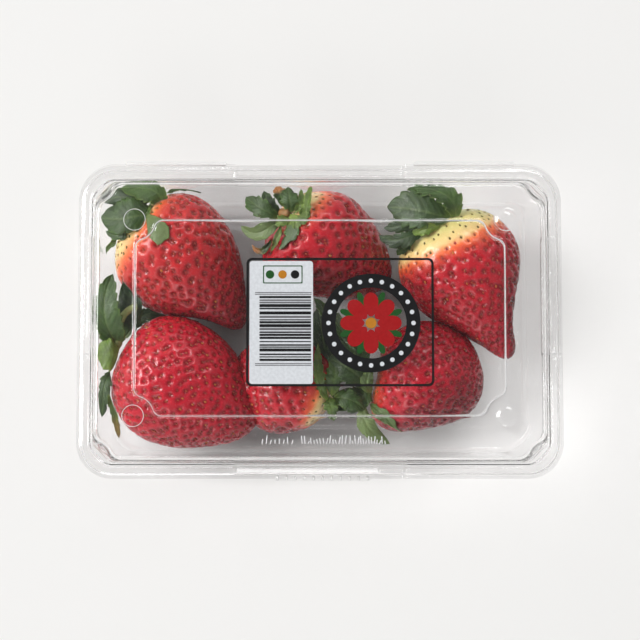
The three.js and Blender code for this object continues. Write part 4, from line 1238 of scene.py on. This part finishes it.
def leaf_shape(leaf, settings, rng):
    """One leaf as a closed thin solid. Its middle line is a cubic through the path. Across
    it, s runs from -1 at the left edge to 1 at the right edge, over the widths that
    blade_widths() gives, less a sawtooth near the edge. The blade rises by rise * width *
    s^2 plus two slow ripples, and sinks along its midrib and its slanting veins. The
    section is a loop of upper and under side, a blade's thickness apart."""
    share = np.linspace(0, 1, LEAF_ROWS)
    line = bezier(path_through(leaf["path"]), share)
    ahead = unit(np.gradient(line, axis=0))
    face = unit(mix(np.array(leaf["face"][0], float), leaf["face"][1], share[:, None]))
    side = unit(np.cross(ahead, face))
    face = np.cross(side, ahead)
    s = np.linspace(-1, 1, LEAF_COLS)
    left, right = blade_widths(share, leaf["left"]), blade_widths(share, leaf["right"])
    width = np.where(s[None] < 0, left[:, None], right[:, None])
    run = np.linalg.norm(np.diff(line, axis=0), axis=1).sum()
    teeth = max(3, round(run / TOOTH_PITCH))
    shift = rng.uniform(0, 1)
    saw = (share[:, None] * teeth + 0.4 * (s > 0) + shift) % 1
    deep = np.minimum(0.3, settings.tooth / MM / np.maximum(width, 0.5)) * ease(share, 0.1, 0.3)[:, None]
    deep = deep * leaf["teeth"] * (1 - 0.85 * leaf["under"])
    cut = 1 - deep * (1 - saw) ** 1.3 * ease(abs(s), 0.45, 1)
    phase = rng.uniform(0, 6.28, 3)
    ripple = settings.ripple / MM * (
        np.sin(9 * share[:, None] + phase[0]) * s ** 2 * np.sign(s)
        + 0.7 * np.sin(19 * share[:, None] + phase[1]) * abs(s) ** 3)
    slant = share[:, None] - VEIN_SLANT * abs(s) / 2
    vein = ease(np.cos(2 * math.pi * VEIN_PAIRS * slant), 0.4, 1) * ease(abs(s), 1, 0.7)
    rib = np.exp(-((s * width / 0.45) ** 2))
    lift = leaf["rise"] * width * s ** 2 * 1.4 + ripple * np.minimum(1, width / 3)
    lift = lift - settings.vein_depth / MM * np.maximum(vein * 0.6, rib) * np.minimum(1, width / 2)
    middle = line[:, None] + side[:, None] * (width * s * cut)[..., None] + face[:, None] * lift[..., None]
    middle = inside_pack(clear_of_fruit(middle, LEAF_ROOM))
    du, dv = np.gradient(middle, axis=0), np.gradient(middle, axis=1)
    normal = unit(np.cross(dv, du))
    normal = np.where((normal * face[:, None]).sum(-1, keepdims=True) < 0, -normal, normal)
    thick = settings.thickness / MM / 2 * (1 - 0.6 * abs(s[None, :, None]) ** 4)
    top, under = middle + normal * thick, middle - normal * thick
    loop = np.concatenate([top, under[:, ::-1]], 1)
    across = np.concatenate([s, s[::-1]])
    uv = np.stack(np.broadcast_arrays(share[:, None], across[None] / 2 + 0.5), -1)
    shown = leaf["under"]
    back = np.concatenate([np.full(LEAF_COLS, shown), np.full(LEAF_COLS, 0.9 if shown < 0.5 else 0.2)])
    dry = leaf["dry"] * ease(share, 0.5, 0.8)
    edge = 0.22 * ease(abs(across), 0.75, 1)
    root = 0.5 * np.exp(-((share / 0.16) ** 2))[:, None]
    tone = np.clip(leaf["tone"] + edge[None] + root + rng.uniform(-0.04, 0.04), 0, 1)
    count = 2 * LEAF_COLS
    marks = {
        "tone": np.broadcast_to(tone, (LEAF_ROWS, count)),
        "under": np.broadcast_to(back, (LEAF_ROWS, count)),
        "dry": np.broadcast_to(dry[:, None], (LEAF_ROWS, count)),
    }
    ends = np.stack([loop[0].mean(0), loop[-1].mean(0)])
    points = np.vstack([loop.reshape(-1, 3), ends])
    marks = {name: np.append(values.ravel(), values[[0, -1], 0]) for name, values in marks.items()}
    uv = np.vstack([uv.reshape(-1, 2), [[0, 0.5], [1, 0.5]]])
    return points, *capped(LEAF_ROWS, count, flip=True), marks, uv


def face_out(piece):
    """Turns a piece's faces outwards when its signed volume is below 0."""
    mesh = piece.data
    mesh.calc_loop_triangles()
    corner = np.empty(len(mesh.loop_triangles) * 3, np.int32)
    mesh.loop_triangles.foreach_get("vertices", corner)
    place = np.empty(len(mesh.vertices) * 3)
    mesh.vertices.foreach_get("co", place)
    a, b, c = place.reshape(-1, 3)[corner.reshape(-1, 3)].transpose(1, 0, 2)
    if (a * np.cross(b, c)).sum() < 0:
        mesh.flip_normals()


def make_leaves(number, settings, material):
    """All the leaves of one fruit in one mesh."""
    rng = np.random.default_rng(40 + number)
    made = [leaf_shape(leaf, settings, rng) for leaf in LEAVES[number - 1]]
    marks = {name: np.concatenate([part[3][name] for part in made]) for name in ("tone", "under", "dry")}
    uv = np.vstack([part[4] for part in made])
    piece = put_mesh(f"leaves_{number}", *joined([part[:3] for part in made]), marks=marks, uv=uv)
    face_out(piece)
    return finish_piece(piece, material, "tray", "leaf_green", f"leaf_crown_{number}")


def make_stalk(number, owner, places, radii, tone, material):
    """A stalk: circles carried along a cubic, their radius easing from one end to the other."""
    share = np.linspace(0, 1, STALK_RINGS)
    line = inside_pack(clear_of_fruit(bezier(path_through(places), share), max(radii) * 0.7))
    ahead = unit(np.gradient(line, axis=0))
    side = unit(np.cross(ahead, [0.3, 0.2, 1]))
    up = np.cross(side, ahead)
    turn = np.arange(STALK_SIDES) * 2 * math.pi / STALK_SIDES
    radius = mix(radii[0], radii[1], share)[:, None, None] * (1 + 0.06 * np.sin(3 * turn))[None, :, None]
    cos, sin = np.cos(turn)[None, :, None], np.sin(turn)[None, :, None]
    ring = line[:, None] + radius * (side[:, None] * cos + up[:, None] * sin)
    points = np.vstack([ring.reshape(-1, 3), line[0], line[-1]])
    faces = capped(STALK_RINGS, STALK_SIDES, flip=True)
    piece = put_mesh(f"stalk_{number}", points, *faces, marks={"tone": np.full(len(points), tone)})
    face_out(piece)
    return finish_piece(piece, material, "tray", "stem_green", f"leaf_crown_{owner}")


def make_greens(settings):
    """The leaves of every fruit and the stalks that show."""
    blade_green, rind = leaf_paint(settings), stalk_paint(settings)
    for number in range(1, len(FRUITS) + 1):
        make_leaves(number, settings, blade_green)
    for number, (owner, places, radii, tone) in enumerate(STALKS, 1):
        make_stalk(number, owner, places, radii, tone, rind)


def rounded(half_x, half_y, radius, middle, steps=10):
    """A rounded rectangle's outline, anticlockwise."""
    turn = np.linspace(0, math.pi / 2, steps)
    quarter = [turn + k * math.pi / 2 for k in range(4)]
    signs = [(1, 1), (-1, 1), (-1, -1), (1, -1)]
    arcs = []
    for q, (sx, sy) in zip(quarter, signs):
        x, y = sx * (half_x - radius), sy * (half_y - radius)
        arcs.append(np.stack([x + radius * np.cos(q), y + radius * np.sin(q)], -1))
    return np.vstack(arcs) + middle


def round_outline(middle, radius, count=40):
    """A circle's outline round a middle."""
    turn = np.arange(count) * 2 * math.pi / count
    return middle + np.stack([np.cos(turn), np.sin(turn)], -1) * radius


def slab(outer, low, high, inner=None):
    """A flat closed solid between two heights: filled from its outline to its middle, or
    the band between an outer and an inner outline. Gives points, quads and triangles."""
    count = len(outer)

    def at(line, z):
        """The outline's points at a height."""
        return np.column_stack([line, np.full(len(line), z)])

    if inner is None:
        hub = outer.mean(0, keepdims=True)
        points = np.vstack([at(outer, low), at(outer, high), at(hub, low), at(hub, high)])
        quads = ring_faces(2, count)
        fans = np.vstack([fan_faces(2 * count, 0, count, flip=True), fan_faces(2 * count + 1, count, count)])
        return points, quads, fans
    points = np.vstack([at(outer, low), at(outer, high), at(inner, high), at(inner, low)])
    here = np.arange(count)
    after = (here + 1) % count
    closing = np.stack([3 * count + here, 3 * count + after, after, here], -1)
    return points, np.vstack([ring_faces(4, count), closing]), np.zeros((0, 3), int)


def print_layer(name, slabs, material, slot, *nodes):
    """One ink of the label: all its slabs in one mesh."""
    piece = put_mesh(name, *joined(slabs), smooth=False)
    return finish_piece(piece, material, "lid", slot, *nodes)


def label_spot(right, down):
    """The place on the label at a picture position."""
    return spot(right, down, LABEL_Z)[:2]


def box_between(left, top, right, bottom, radius=0.15, steps=4):
    """A rounded rectangle on the label between two picture positions."""
    a, b = label_spot(left, bottom), label_spot(right, top)
    half = (b - a) / 2
    return rounded(half[0], half[1], min(radius, half[1] * 0.45), (a + b) / 2, steps)


def make_label(settings):
    """The film, the white panel with its bars and small discs, the black frame, and a plain
    round badge of a rosette in a dotted ring."""
    rng = np.random.default_rng(5)
    middle = np.array(LABEL_MIDDLE)
    film = clear_sheet("label_film_sheet", settings.film_tint, 0.02, 0, 0.96, 1.04)
    half = np.array(LABEL_SIZE) / 2
    sheet = [slab(rounded(*half, LABEL_CORNER, middle, 16), LABEL_Z, LABEL_Z + FILM_THICK)]
    print_layer("label_film", sheet, film, "label_film", "label")

    inks = {}
    for name in ("black", "white", "grey", "red", "green", "amber"):
        inks[name] = ink_paint(f"{name}_ink", getattr(settings, name))

    z1, z2, z3 = (LABEL_Z + level for level in PRINT_LEVELS)
    outer = rounded(*(half - FRAME_INSETS[0]), LABEL_CORNER, middle, 16)
    inner = rounded(*(half - FRAME_INSETS[1]), LABEL_CORNER - 0.75, middle, 16)
    frame_band = slab(outer, z1, z2, inner)
    panel = slab(box_between(*PANEL_BOX, 1.2, 10), z1, z2 - 0.01)

    bars, guards = [], []
    at, last = BAR_ROWS
    while at < last:
        thick = rng.choice(BAR_WIDTHS, p=BAR_WIDTH_ODDS)
        target = guards if rng.random() < GREY_BAR_SHARE else bars
        target.append(slab(box_between(BAR_COLUMN[0], at, BAR_COLUMN[1], at + thick), z2, z3))
        at += thick + rng.choice(BAR_GAPS, p=BAR_GAP_ODDS)
    left, right = GUARD_COLUMN
    for level in GUARD_ROWS:
        guards.append(slab(box_between(left, level, right, level + GUARD_WIDTH), z2, z3))

    tag_frame = slab(box_between(*TAG_OUTER, 0.4), z2, z3, box_between(*TAG_INNER, 0.3))
    places = [label_spot(right, DISC_ROW) for right in DISC_COLUMNS]
    discs = [slab(round_outline(place, DISC_R, 28), z2, z3) for place in places]

    centre = label_spot(*BADGE_SPOT)
    ring = slab(round_outline(centre, RING_OUTER_R, 240), z1, z2, round_outline(centre, RING_INNER_R, 240))
    ways = round_outline(0, 1, DOT_COUNT)
    dots = [slab(round_outline(centre + DOT_RING_R * way, DOT_R, 20), z2, z3) for way in ways]
    petals, leaves = [], []
    for k in range(PETAL_COUNT):
        angle = k * 2 * math.pi / PETAL_COUNT
        between = angle + math.pi / PETAL_COUNT
        step = 0.004 * k
        line = petal(centre, PETAL_REACH, angle, *PETAL_HALVES)
        petals.append(slab(line, z1 + 0.02 + step, z2 + step))
        line = petal(centre, BADGE_LEAF_REACH, between, *BADGE_LEAF_HALVES)
        leaves.append(slab(line, z1 - 0.02, z1 + 0.01))
    heart = slab(round_outline(centre, HEART_R), z2 + 0.04, z3 + 0.02)

    for name, slabs, ink in (
            ("label_frame", [frame_band], "black"),
            ("label_panel", [panel], "white"),
            ("label_bars", bars, "black"),
            ("label_guard_bars", guards, "grey"),
            ("label_tag_frame", [tag_frame, discs[0]], "green"),
            ("label_amber_disc", [discs[1]], "amber"),
            ("label_dark_disc", [discs[2]], "black"),
            ("badge_ring", [ring], "black"),
            ("badge_dots", dots, "white"),
            ("badge_petals", petals, "red"),
            ("badge_leaves", leaves, "green"),
            ("badge_heart", [heart], "amber")):
        print_layer(name, slabs, inks[ink], "ink_black" if ink == "grey" else "ink_" + ink)


def petal(centre, reach, angle, long_half, wide_half):
    """A petal's outline, its middle at a reach from a centre: an ellipse whose outer end is
    a little fuller than its inner end."""
    turn = np.arange(40) * 2 * math.pi / 40
    along = long_half * np.cos(turn)
    across = wide_half * np.sin(turn) * (1 + 0.22 * np.cos(turn))
    c, s = math.cos(angle), math.sin(angle)
    middle = centre + np.array([c, s]) * reach
    return middle + np.stack([along * c - across * s, along * s + across * c], -1)


def make_stage(settings):
    """A pale floor, soft lights, a surround that is darker straight above and on the right,
    and the camera over the front."""
    ways = np.array([[-1, -1, 0], [1, -1, 0], [1, 1, 0], [-1, 1, 0]]) * float(FLOOR_HALF)
    floor = put_mesh("floor", ways - [0, 0, FLOOR_BELOW], np.array([[0, 1, 2, 3]]), smooth=False)
    paint = Paint("floor_paper")
    tint = np.array(settings.floor)
    paint.set(Base_Color=paint.ramp(paint.noise(3, 2), (0.3, tint * 0.995), (0.7, tint)))
    # The floor's glow is painted light: it fills in the shadows that the pack casts around it, and is left
    # out under the pack
    paint.set(Roughness=0.85, Specular_IOR_Level=0.1, Emission_Color=settings.floor_glow)
    parts = paint.add("ShaderNodeSeparateXYZ")
    paint.feed(parts, "Vector", (paint.place, "Object"))
    away = []
    for axis, half, middle in (("X", settings.shaded_x, settings.shaded_middle), ("Y", settings.shaded_y, 0)):
        share = paint.sums("MULTIPLY_ADD", (parts, axis), 1 / half, -middle / half)
        away.append(paint.sums("POWER", paint.sums("ABSOLUTE", share), 4))
    far = paint.sums("POWER", paint.sums("ADD", *away), 0.25)
    paint.set(Emission_Strength=paint.ramp(paint.sums("MULTIPLY", far, 0.5), (0.4, 0.0), (0.575, 1.0)))
    floor.data.materials.append(paint.material)

    world = bpy.data.worlds.new("surround")
    bpy.context.scene.world = world
    world.use_nodes = True
    tree = world.node_tree
    sky = tree.nodes["Background"]
    way = tree.nodes.new("ShaderNodeTexCoord")
    parts = tree.nodes.new("ShaderNodeSeparateXYZ")
    tree.links.new(way.outputs["Generated"], parts.inputs[0])
    rise = tree.nodes.new("ShaderNodeValToRGB")
    tree.links.new(parts.outputs["Z"], rise.inputs["Fac"])
    levels = (settings.low_sky, settings.side_sky, settings.side_sky, settings.top_sky)
    warm_grey = np.array([1, 0.995, 0.985])
    set_stops(rise, [(place, grey * warm_grey) for place, grey in zip((0, 0.35, 0.7, 0.96), levels)])
    tree.links.new(rise.outputs["Color"], sky.inputs["Color"])
    lean = tree.nodes.new("ShaderNodeMath")
    lean.operation = "MULTIPLY_ADD"
    tree.links.new(parts.outputs["X"], lean.inputs[0])
    lean.inputs[1].default_value = -settings.lean
    lean.inputs[2].default_value = 1
    tree.links.new(lean.outputs[0], sky.inputs["Strength"])

    lamps = [
        ("key_softbox", (-2.1, 0.5, 2.2), (1.5, 1.2), settings.key),
        ("back_softbox", (0.75, 1.9, 2.1), (1.2, 0.7), settings.key * 0.25),
        ("front_softbox", (-0.5, -2.2, 1.4), (1.4, 0.5), settings.key * 0.16),
    ]
    for name, place, (wide, tall), power in lamps:
        data = bpy.data.lights.new(name, "AREA")
        data.shape = "RECTANGLE"
        data.size, data.size_y, data.energy = wide, tall, power
        lamp = bpy.data.objects.new(name, data)
        bpy.context.scene.collection.objects.link(lamp)
        lamp.location = place
        lamp.rotation_euler = (Vector((0, 0, 0.03)) - Vector(place)).to_track_quat("-Z", "Y").to_euler()

    data = bpy.data.cameras.new("camera")
    data.sensor_width = 36
    data.lens = 36 * FOCAL
    data.clip_start, data.clip_end = 0.02, 20
    camera = bpy.data.objects.new("camera", data)
    bpy.context.scene.collection.objects.link(camera)
    back = Vector((0, -math.cos(CAMERA_ELEVATION), math.sin(CAMERA_ELEVATION)))
    camera.location = Vector((0, 0, AIM_Z * MM)) + back * CAMERA_DISTANCE * MM
    camera.rotation_euler = (-back).to_track_quat("-Z", "Y").to_euler()
    bpy.context.scene.camera = camera

    view = bpy.context.scene.view_settings
    view.view_transform = "Standard"
    view.look = "None"
    cycles = bpy.context.scene.cycles
    cycles.max_bounces = 24
    cycles.transmission_bounces = 24
    cycles.transparent_max_bounces = 32
    cycles.glossy_bounces = 6
    cycles.diffuse_bounces = 4


def colour(name, description, value):
    """A colour setting."""
    return FloatVectorProperty(
        name=name, description=description, subtype="COLOR", size=3, min=0, max=1, default=value)


def length(name, description, value, low=0.0):
    """A length setting in metres."""
    return FloatProperty(
        name=name, description=description, unit="LENGTH", subtype="DISTANCE", precision=5,
        min=low, default=value)


def share_of(name, description, value, high=1.0):
    """A setting from 0 to a highest value."""
    return FloatProperty(name=name, description=description, min=0, max=high, default=value)


def strength(name, description, value):
    """A brightness of the surround."""
    return FloatProperty(name=name, description=description, min=0, default=value)


class PackSettings(bpy.types.PropertyGroup):
    sheet: length("Sheet", "Thickness of the formed sheet", 0.0004)
    bend: length("Bend", "How far from a bend the sheet starts to round", 0.0006)
    wave: length("Wave", "Depth of the slow waves in the sheet", 0.00006)
    gloss: share_of("Gloss", "Roughness of the clear sheet", 0.02)
    tray_tint: colour("Tray tint", "What the tray's sheet lets through", (0.975, 0.97, 0.972))
    lid_tint: colour("Lid tint", "What the lid's sheet lets through", (0.985, 0.985, 0.985))
    tray_shade: share_of("Tray shade", "Light past each face of the tray", 0.965)
    lid_shade: share_of("Lid shade", "Light past each face of the lid", 0.98)
    # The crease's pale white is a painted highlight of the line of light along the panel's edge
    crease: length("Crease", "Radius of the milky crease round the lid's panel", 0.00017)
    crease_highlight_white: colour("Crease", "Colour of the milky creases", (0.93, 0.93, 0.95))


class FruitSettings(bpy.types.PropertyGroup):
    rows: IntProperty(name="Rows", description="Rows of points from leaf end to tip", min=20, default=190)
    columns: IntProperty(name="Columns", description="Points round a fruit", min=20, default=290)
    pit_depth: share_of("Pit depth", "Depth of a pit as a share of the seeds' spacing", 0.2, 0.5)
    ripe_red: colour("Ripe red", "Skin where the fruit is ripe", (0.41, 0.005, 0.017))
    # The darkest red is both the ripest skin and painted shade on each fruit's far side
    deep_red_and_shade: colour("Deep red", "Skin where the fruit is ripest", (0.11, 0.003, 0.010))
    # Painted shade in the pits
    pit_shade_tint: colour("Pit tint", "What the pits keep of the skin's colour", (0.6, 0.4, 0.5))
    # Painted highlight on the ridges between the pits
    ridge_highlight_pink: colour("Ridge pink", "The paler net between the pits", (0.50, 0.018, 0.032))
    shoulder_orange: colour("Shoulder orange", "Skin where red starts", (0.78, 0.16, 0.05))
    shoulder_cream: colour("Shoulder cream", "Skin just off the leaves", (0.76, 0.52, 0.22))
    shoulder_green: colour("Shoulder green", "Skin by the leaves", (0.60, 0.55, 0.20))
    seed_dark: colour("Dark seed", "Seeds in ripe skin", (0.26, 0.022, 0.020))
    seed_straw: colour("Straw seed", "Paler seeds in ripe skin", (0.45, 0.14, 0.03))
    seed_olive: colour("Olive seed", "Seeds in the pale shoulder", (0.12, 0.10, 0.02))


class LeafSettings(bpy.types.PropertyGroup):
    thickness: length("Thickness", "Thickness of a leaf", 0.00035)
    ripple: length("Ripple", "Height of the ripples along a leaf's edge", 0.0007)
    tooth: length("Tooth", "Depth of the teeth along a leaf's edge", 0.0009)
    vein_depth: length("Vein depth", "How far the midrib sinks", 0.0003)
    green_dark: colour("Dark green", "Old leaves", (0.011, 0.029, 0.005))
    green_mid: colour("Mid green", "Most leaves", (0.034, 0.076, 0.009))
    green_yellow: colour("Yellow green", "Young leaves", (0.16, 0.23, 0.03))
    green_under: colour("Underside", "The pale underside", (0.12, 0.165, 0.055))
    vein: colour("Vein", "Midrib and side veins", (0.18, 0.24, 0.07))
    dry: colour("Dry tip", "Withered tips and the cut stalk", (0.30, 0.12, 0.035))
    stalk: colour("Stalk", "Fresh stalk", (0.42, 0.44, 0.16))


class LabelSettings(bpy.types.PropertyGroup):
    film_tint: colour("Film", "What the film lets through", (0.96, 0.96, 0.96))
    black: colour("Black", "Black ink", (0.012, 0.012, 0.013))
    white: colour("White", "White ink", (0.70, 0.725, 0.76))
    grey: colour("Grey", "Thin grey bars", (0.16, 0.16, 0.17))
    red: colour("Red", "Red ink", (0.36, 0.012, 0.014))
    green: colour("Green", "Green ink", (0.018, 0.085, 0.02))
    amber: colour("Amber", "Amber ink", (0.5, 0.2, 0.02))


class StageSettings(bpy.types.PropertyGroup):
    floor: colour("Floor", "Colour of the floor", (0.50, 0.497, 0.49))
    floor_glow: colour("Floor glow", "Light that comes through the floor", (0.395, 0.392, 0.386))
    shaded_x: length("Shaded x", "Half length of the floor under the pack that does not glow", 0.068)
    shaded_middle: length("Shaded middle", "Where the middle of that floor is along x", -0.008, -1.0)
    shaded_y: length("Shaded y", "Half width of the floor under the pack that does not glow", 0.056)
    low_sky: strength("Low surround", "Surround at the horizon", 0.8)
    side_sky: strength("Side surround", "Surround halfway up", 0.5)
    top_sky: strength("Top surround", "Surround straight above", 0.14)
    lean: share_of("Lean", "How much brighter the left side is", 0.5)
    key: FloatProperty(
        name="Key light", description="Power of the main soft light", unit="POWER", min=0, default=58)


def settings_of(context, part):
    """The settings of one part of the punnet."""
    return getattr(context.scene, "punnet_" + part)


class Builder:
    """Runs an operator's make() with the settings of its part."""

    def execute(self, context):
        """Builds the part and reports that it is done."""
        type(self).make(settings_of(context, self.part))
        return {"FINISHED"}


class MakeTray(Builder, bpy.types.Operator):
    """Build the clear tray with its rim, vents, foot ring and hinge beads"""
    bl_idname = "punnet.tray"
    bl_label = "Tray"
    part = "pack"
    make = make_tray


class MakeLid(Builder, bpy.types.Operator):
    """Build the clear lid with its raised panel, holes, domes and opening tab"""
    bl_idname = "punnet.lid"
    bl_label = "Lid"
    part = "pack"
    make = make_lid


class MakeFruit(Builder, bpy.types.Operator):
    """Build the six strawberries with their pits and seeds"""
    bl_idname = "punnet.fruit"
    bl_label = "Strawberries"
    part = "fruit"
    make = make_all_fruit


class MakeLeaves(Builder, bpy.types.Operator):
    """Build the leaves and the stalks of the six strawberries"""
    bl_idname = "punnet.leaves"
    bl_label = "Leaves and stalks"
    part = "leaf"
    make = make_greens


class MakeLabel(Builder, bpy.types.Operator):
    """Build the label's film and its printed shapes"""
    bl_idname = "punnet.label"
    bl_label = "Label"
    part = "label"
    make = make_label


class MakeStage(Builder, bpy.types.Operator):
    """Build the floor, the lights and the camera"""
    bl_idname = "punnet.stage"
    bl_label = "Stage"
    part = "stage"
    make = make_stage


OPERATORS = (MakeTray, MakeLid, MakeFruit, MakeLeaves, MakeLabel, MakeStage)
GROUPS = {
    "pack": PackSettings,
    "fruit": FruitSettings,
    "leaf": LeafSettings,
    "label": LabelSettings,
    "stage": StageSettings,
}


class PunnetPanel(bpy.types.Panel):
    """The punnet's settings and the buttons that build its pieces"""
    bl_idname = "VIEW3D_PT_punnet"
    bl_label = "Punnet"
    bl_space_type = "VIEW_3D"
    bl_region_type = "UI"
    bl_category = "Punnet"

    def draw(self, context):
        """A button for each operator, then a box for each group of settings."""
        for operator in OPERATORS:
            self.layout.operator(operator.bl_idname)
        for part, group in GROUPS.items():
            box = self.layout.box()
            box.label(text=part.capitalize())
            for name in group.__annotations__:
                box.prop(settings_of(context, part), name)


def register():
    """Adds the groups of settings, the operators and the panel to Blender."""
    for group in GROUPS.values():
        bpy.utils.register_class(group)
    for part, group in GROUPS.items():
        setattr(bpy.types.Scene, "punnet_" + part, PointerProperty(type=group))
    for operator in OPERATORS:
        bpy.utils.register_class(operator)
    bpy.utils.register_class(PunnetPanel)


def unregister():
    """Takes them out again, in the opposite order."""
    bpy.utils.unregister_class(PunnetPanel)
    for operator in reversed(OPERATORS):
        bpy.utils.unregister_class(operator)
    for part, group in GROUPS.items():
        delattr(bpy.types.Scene, "punnet_" + part)
        bpy.utils.unregister_class(group)


def main():
    register()
    bpy.ops.punnet.tray()
    bpy.ops.punnet.lid()
    bpy.ops.punnet.fruit()
    bpy.ops.punnet.leaves()
    bpy.ops.punnet.label()
    bpy.ops.punnet.stage()


if __name__ == "__main__":
    main()
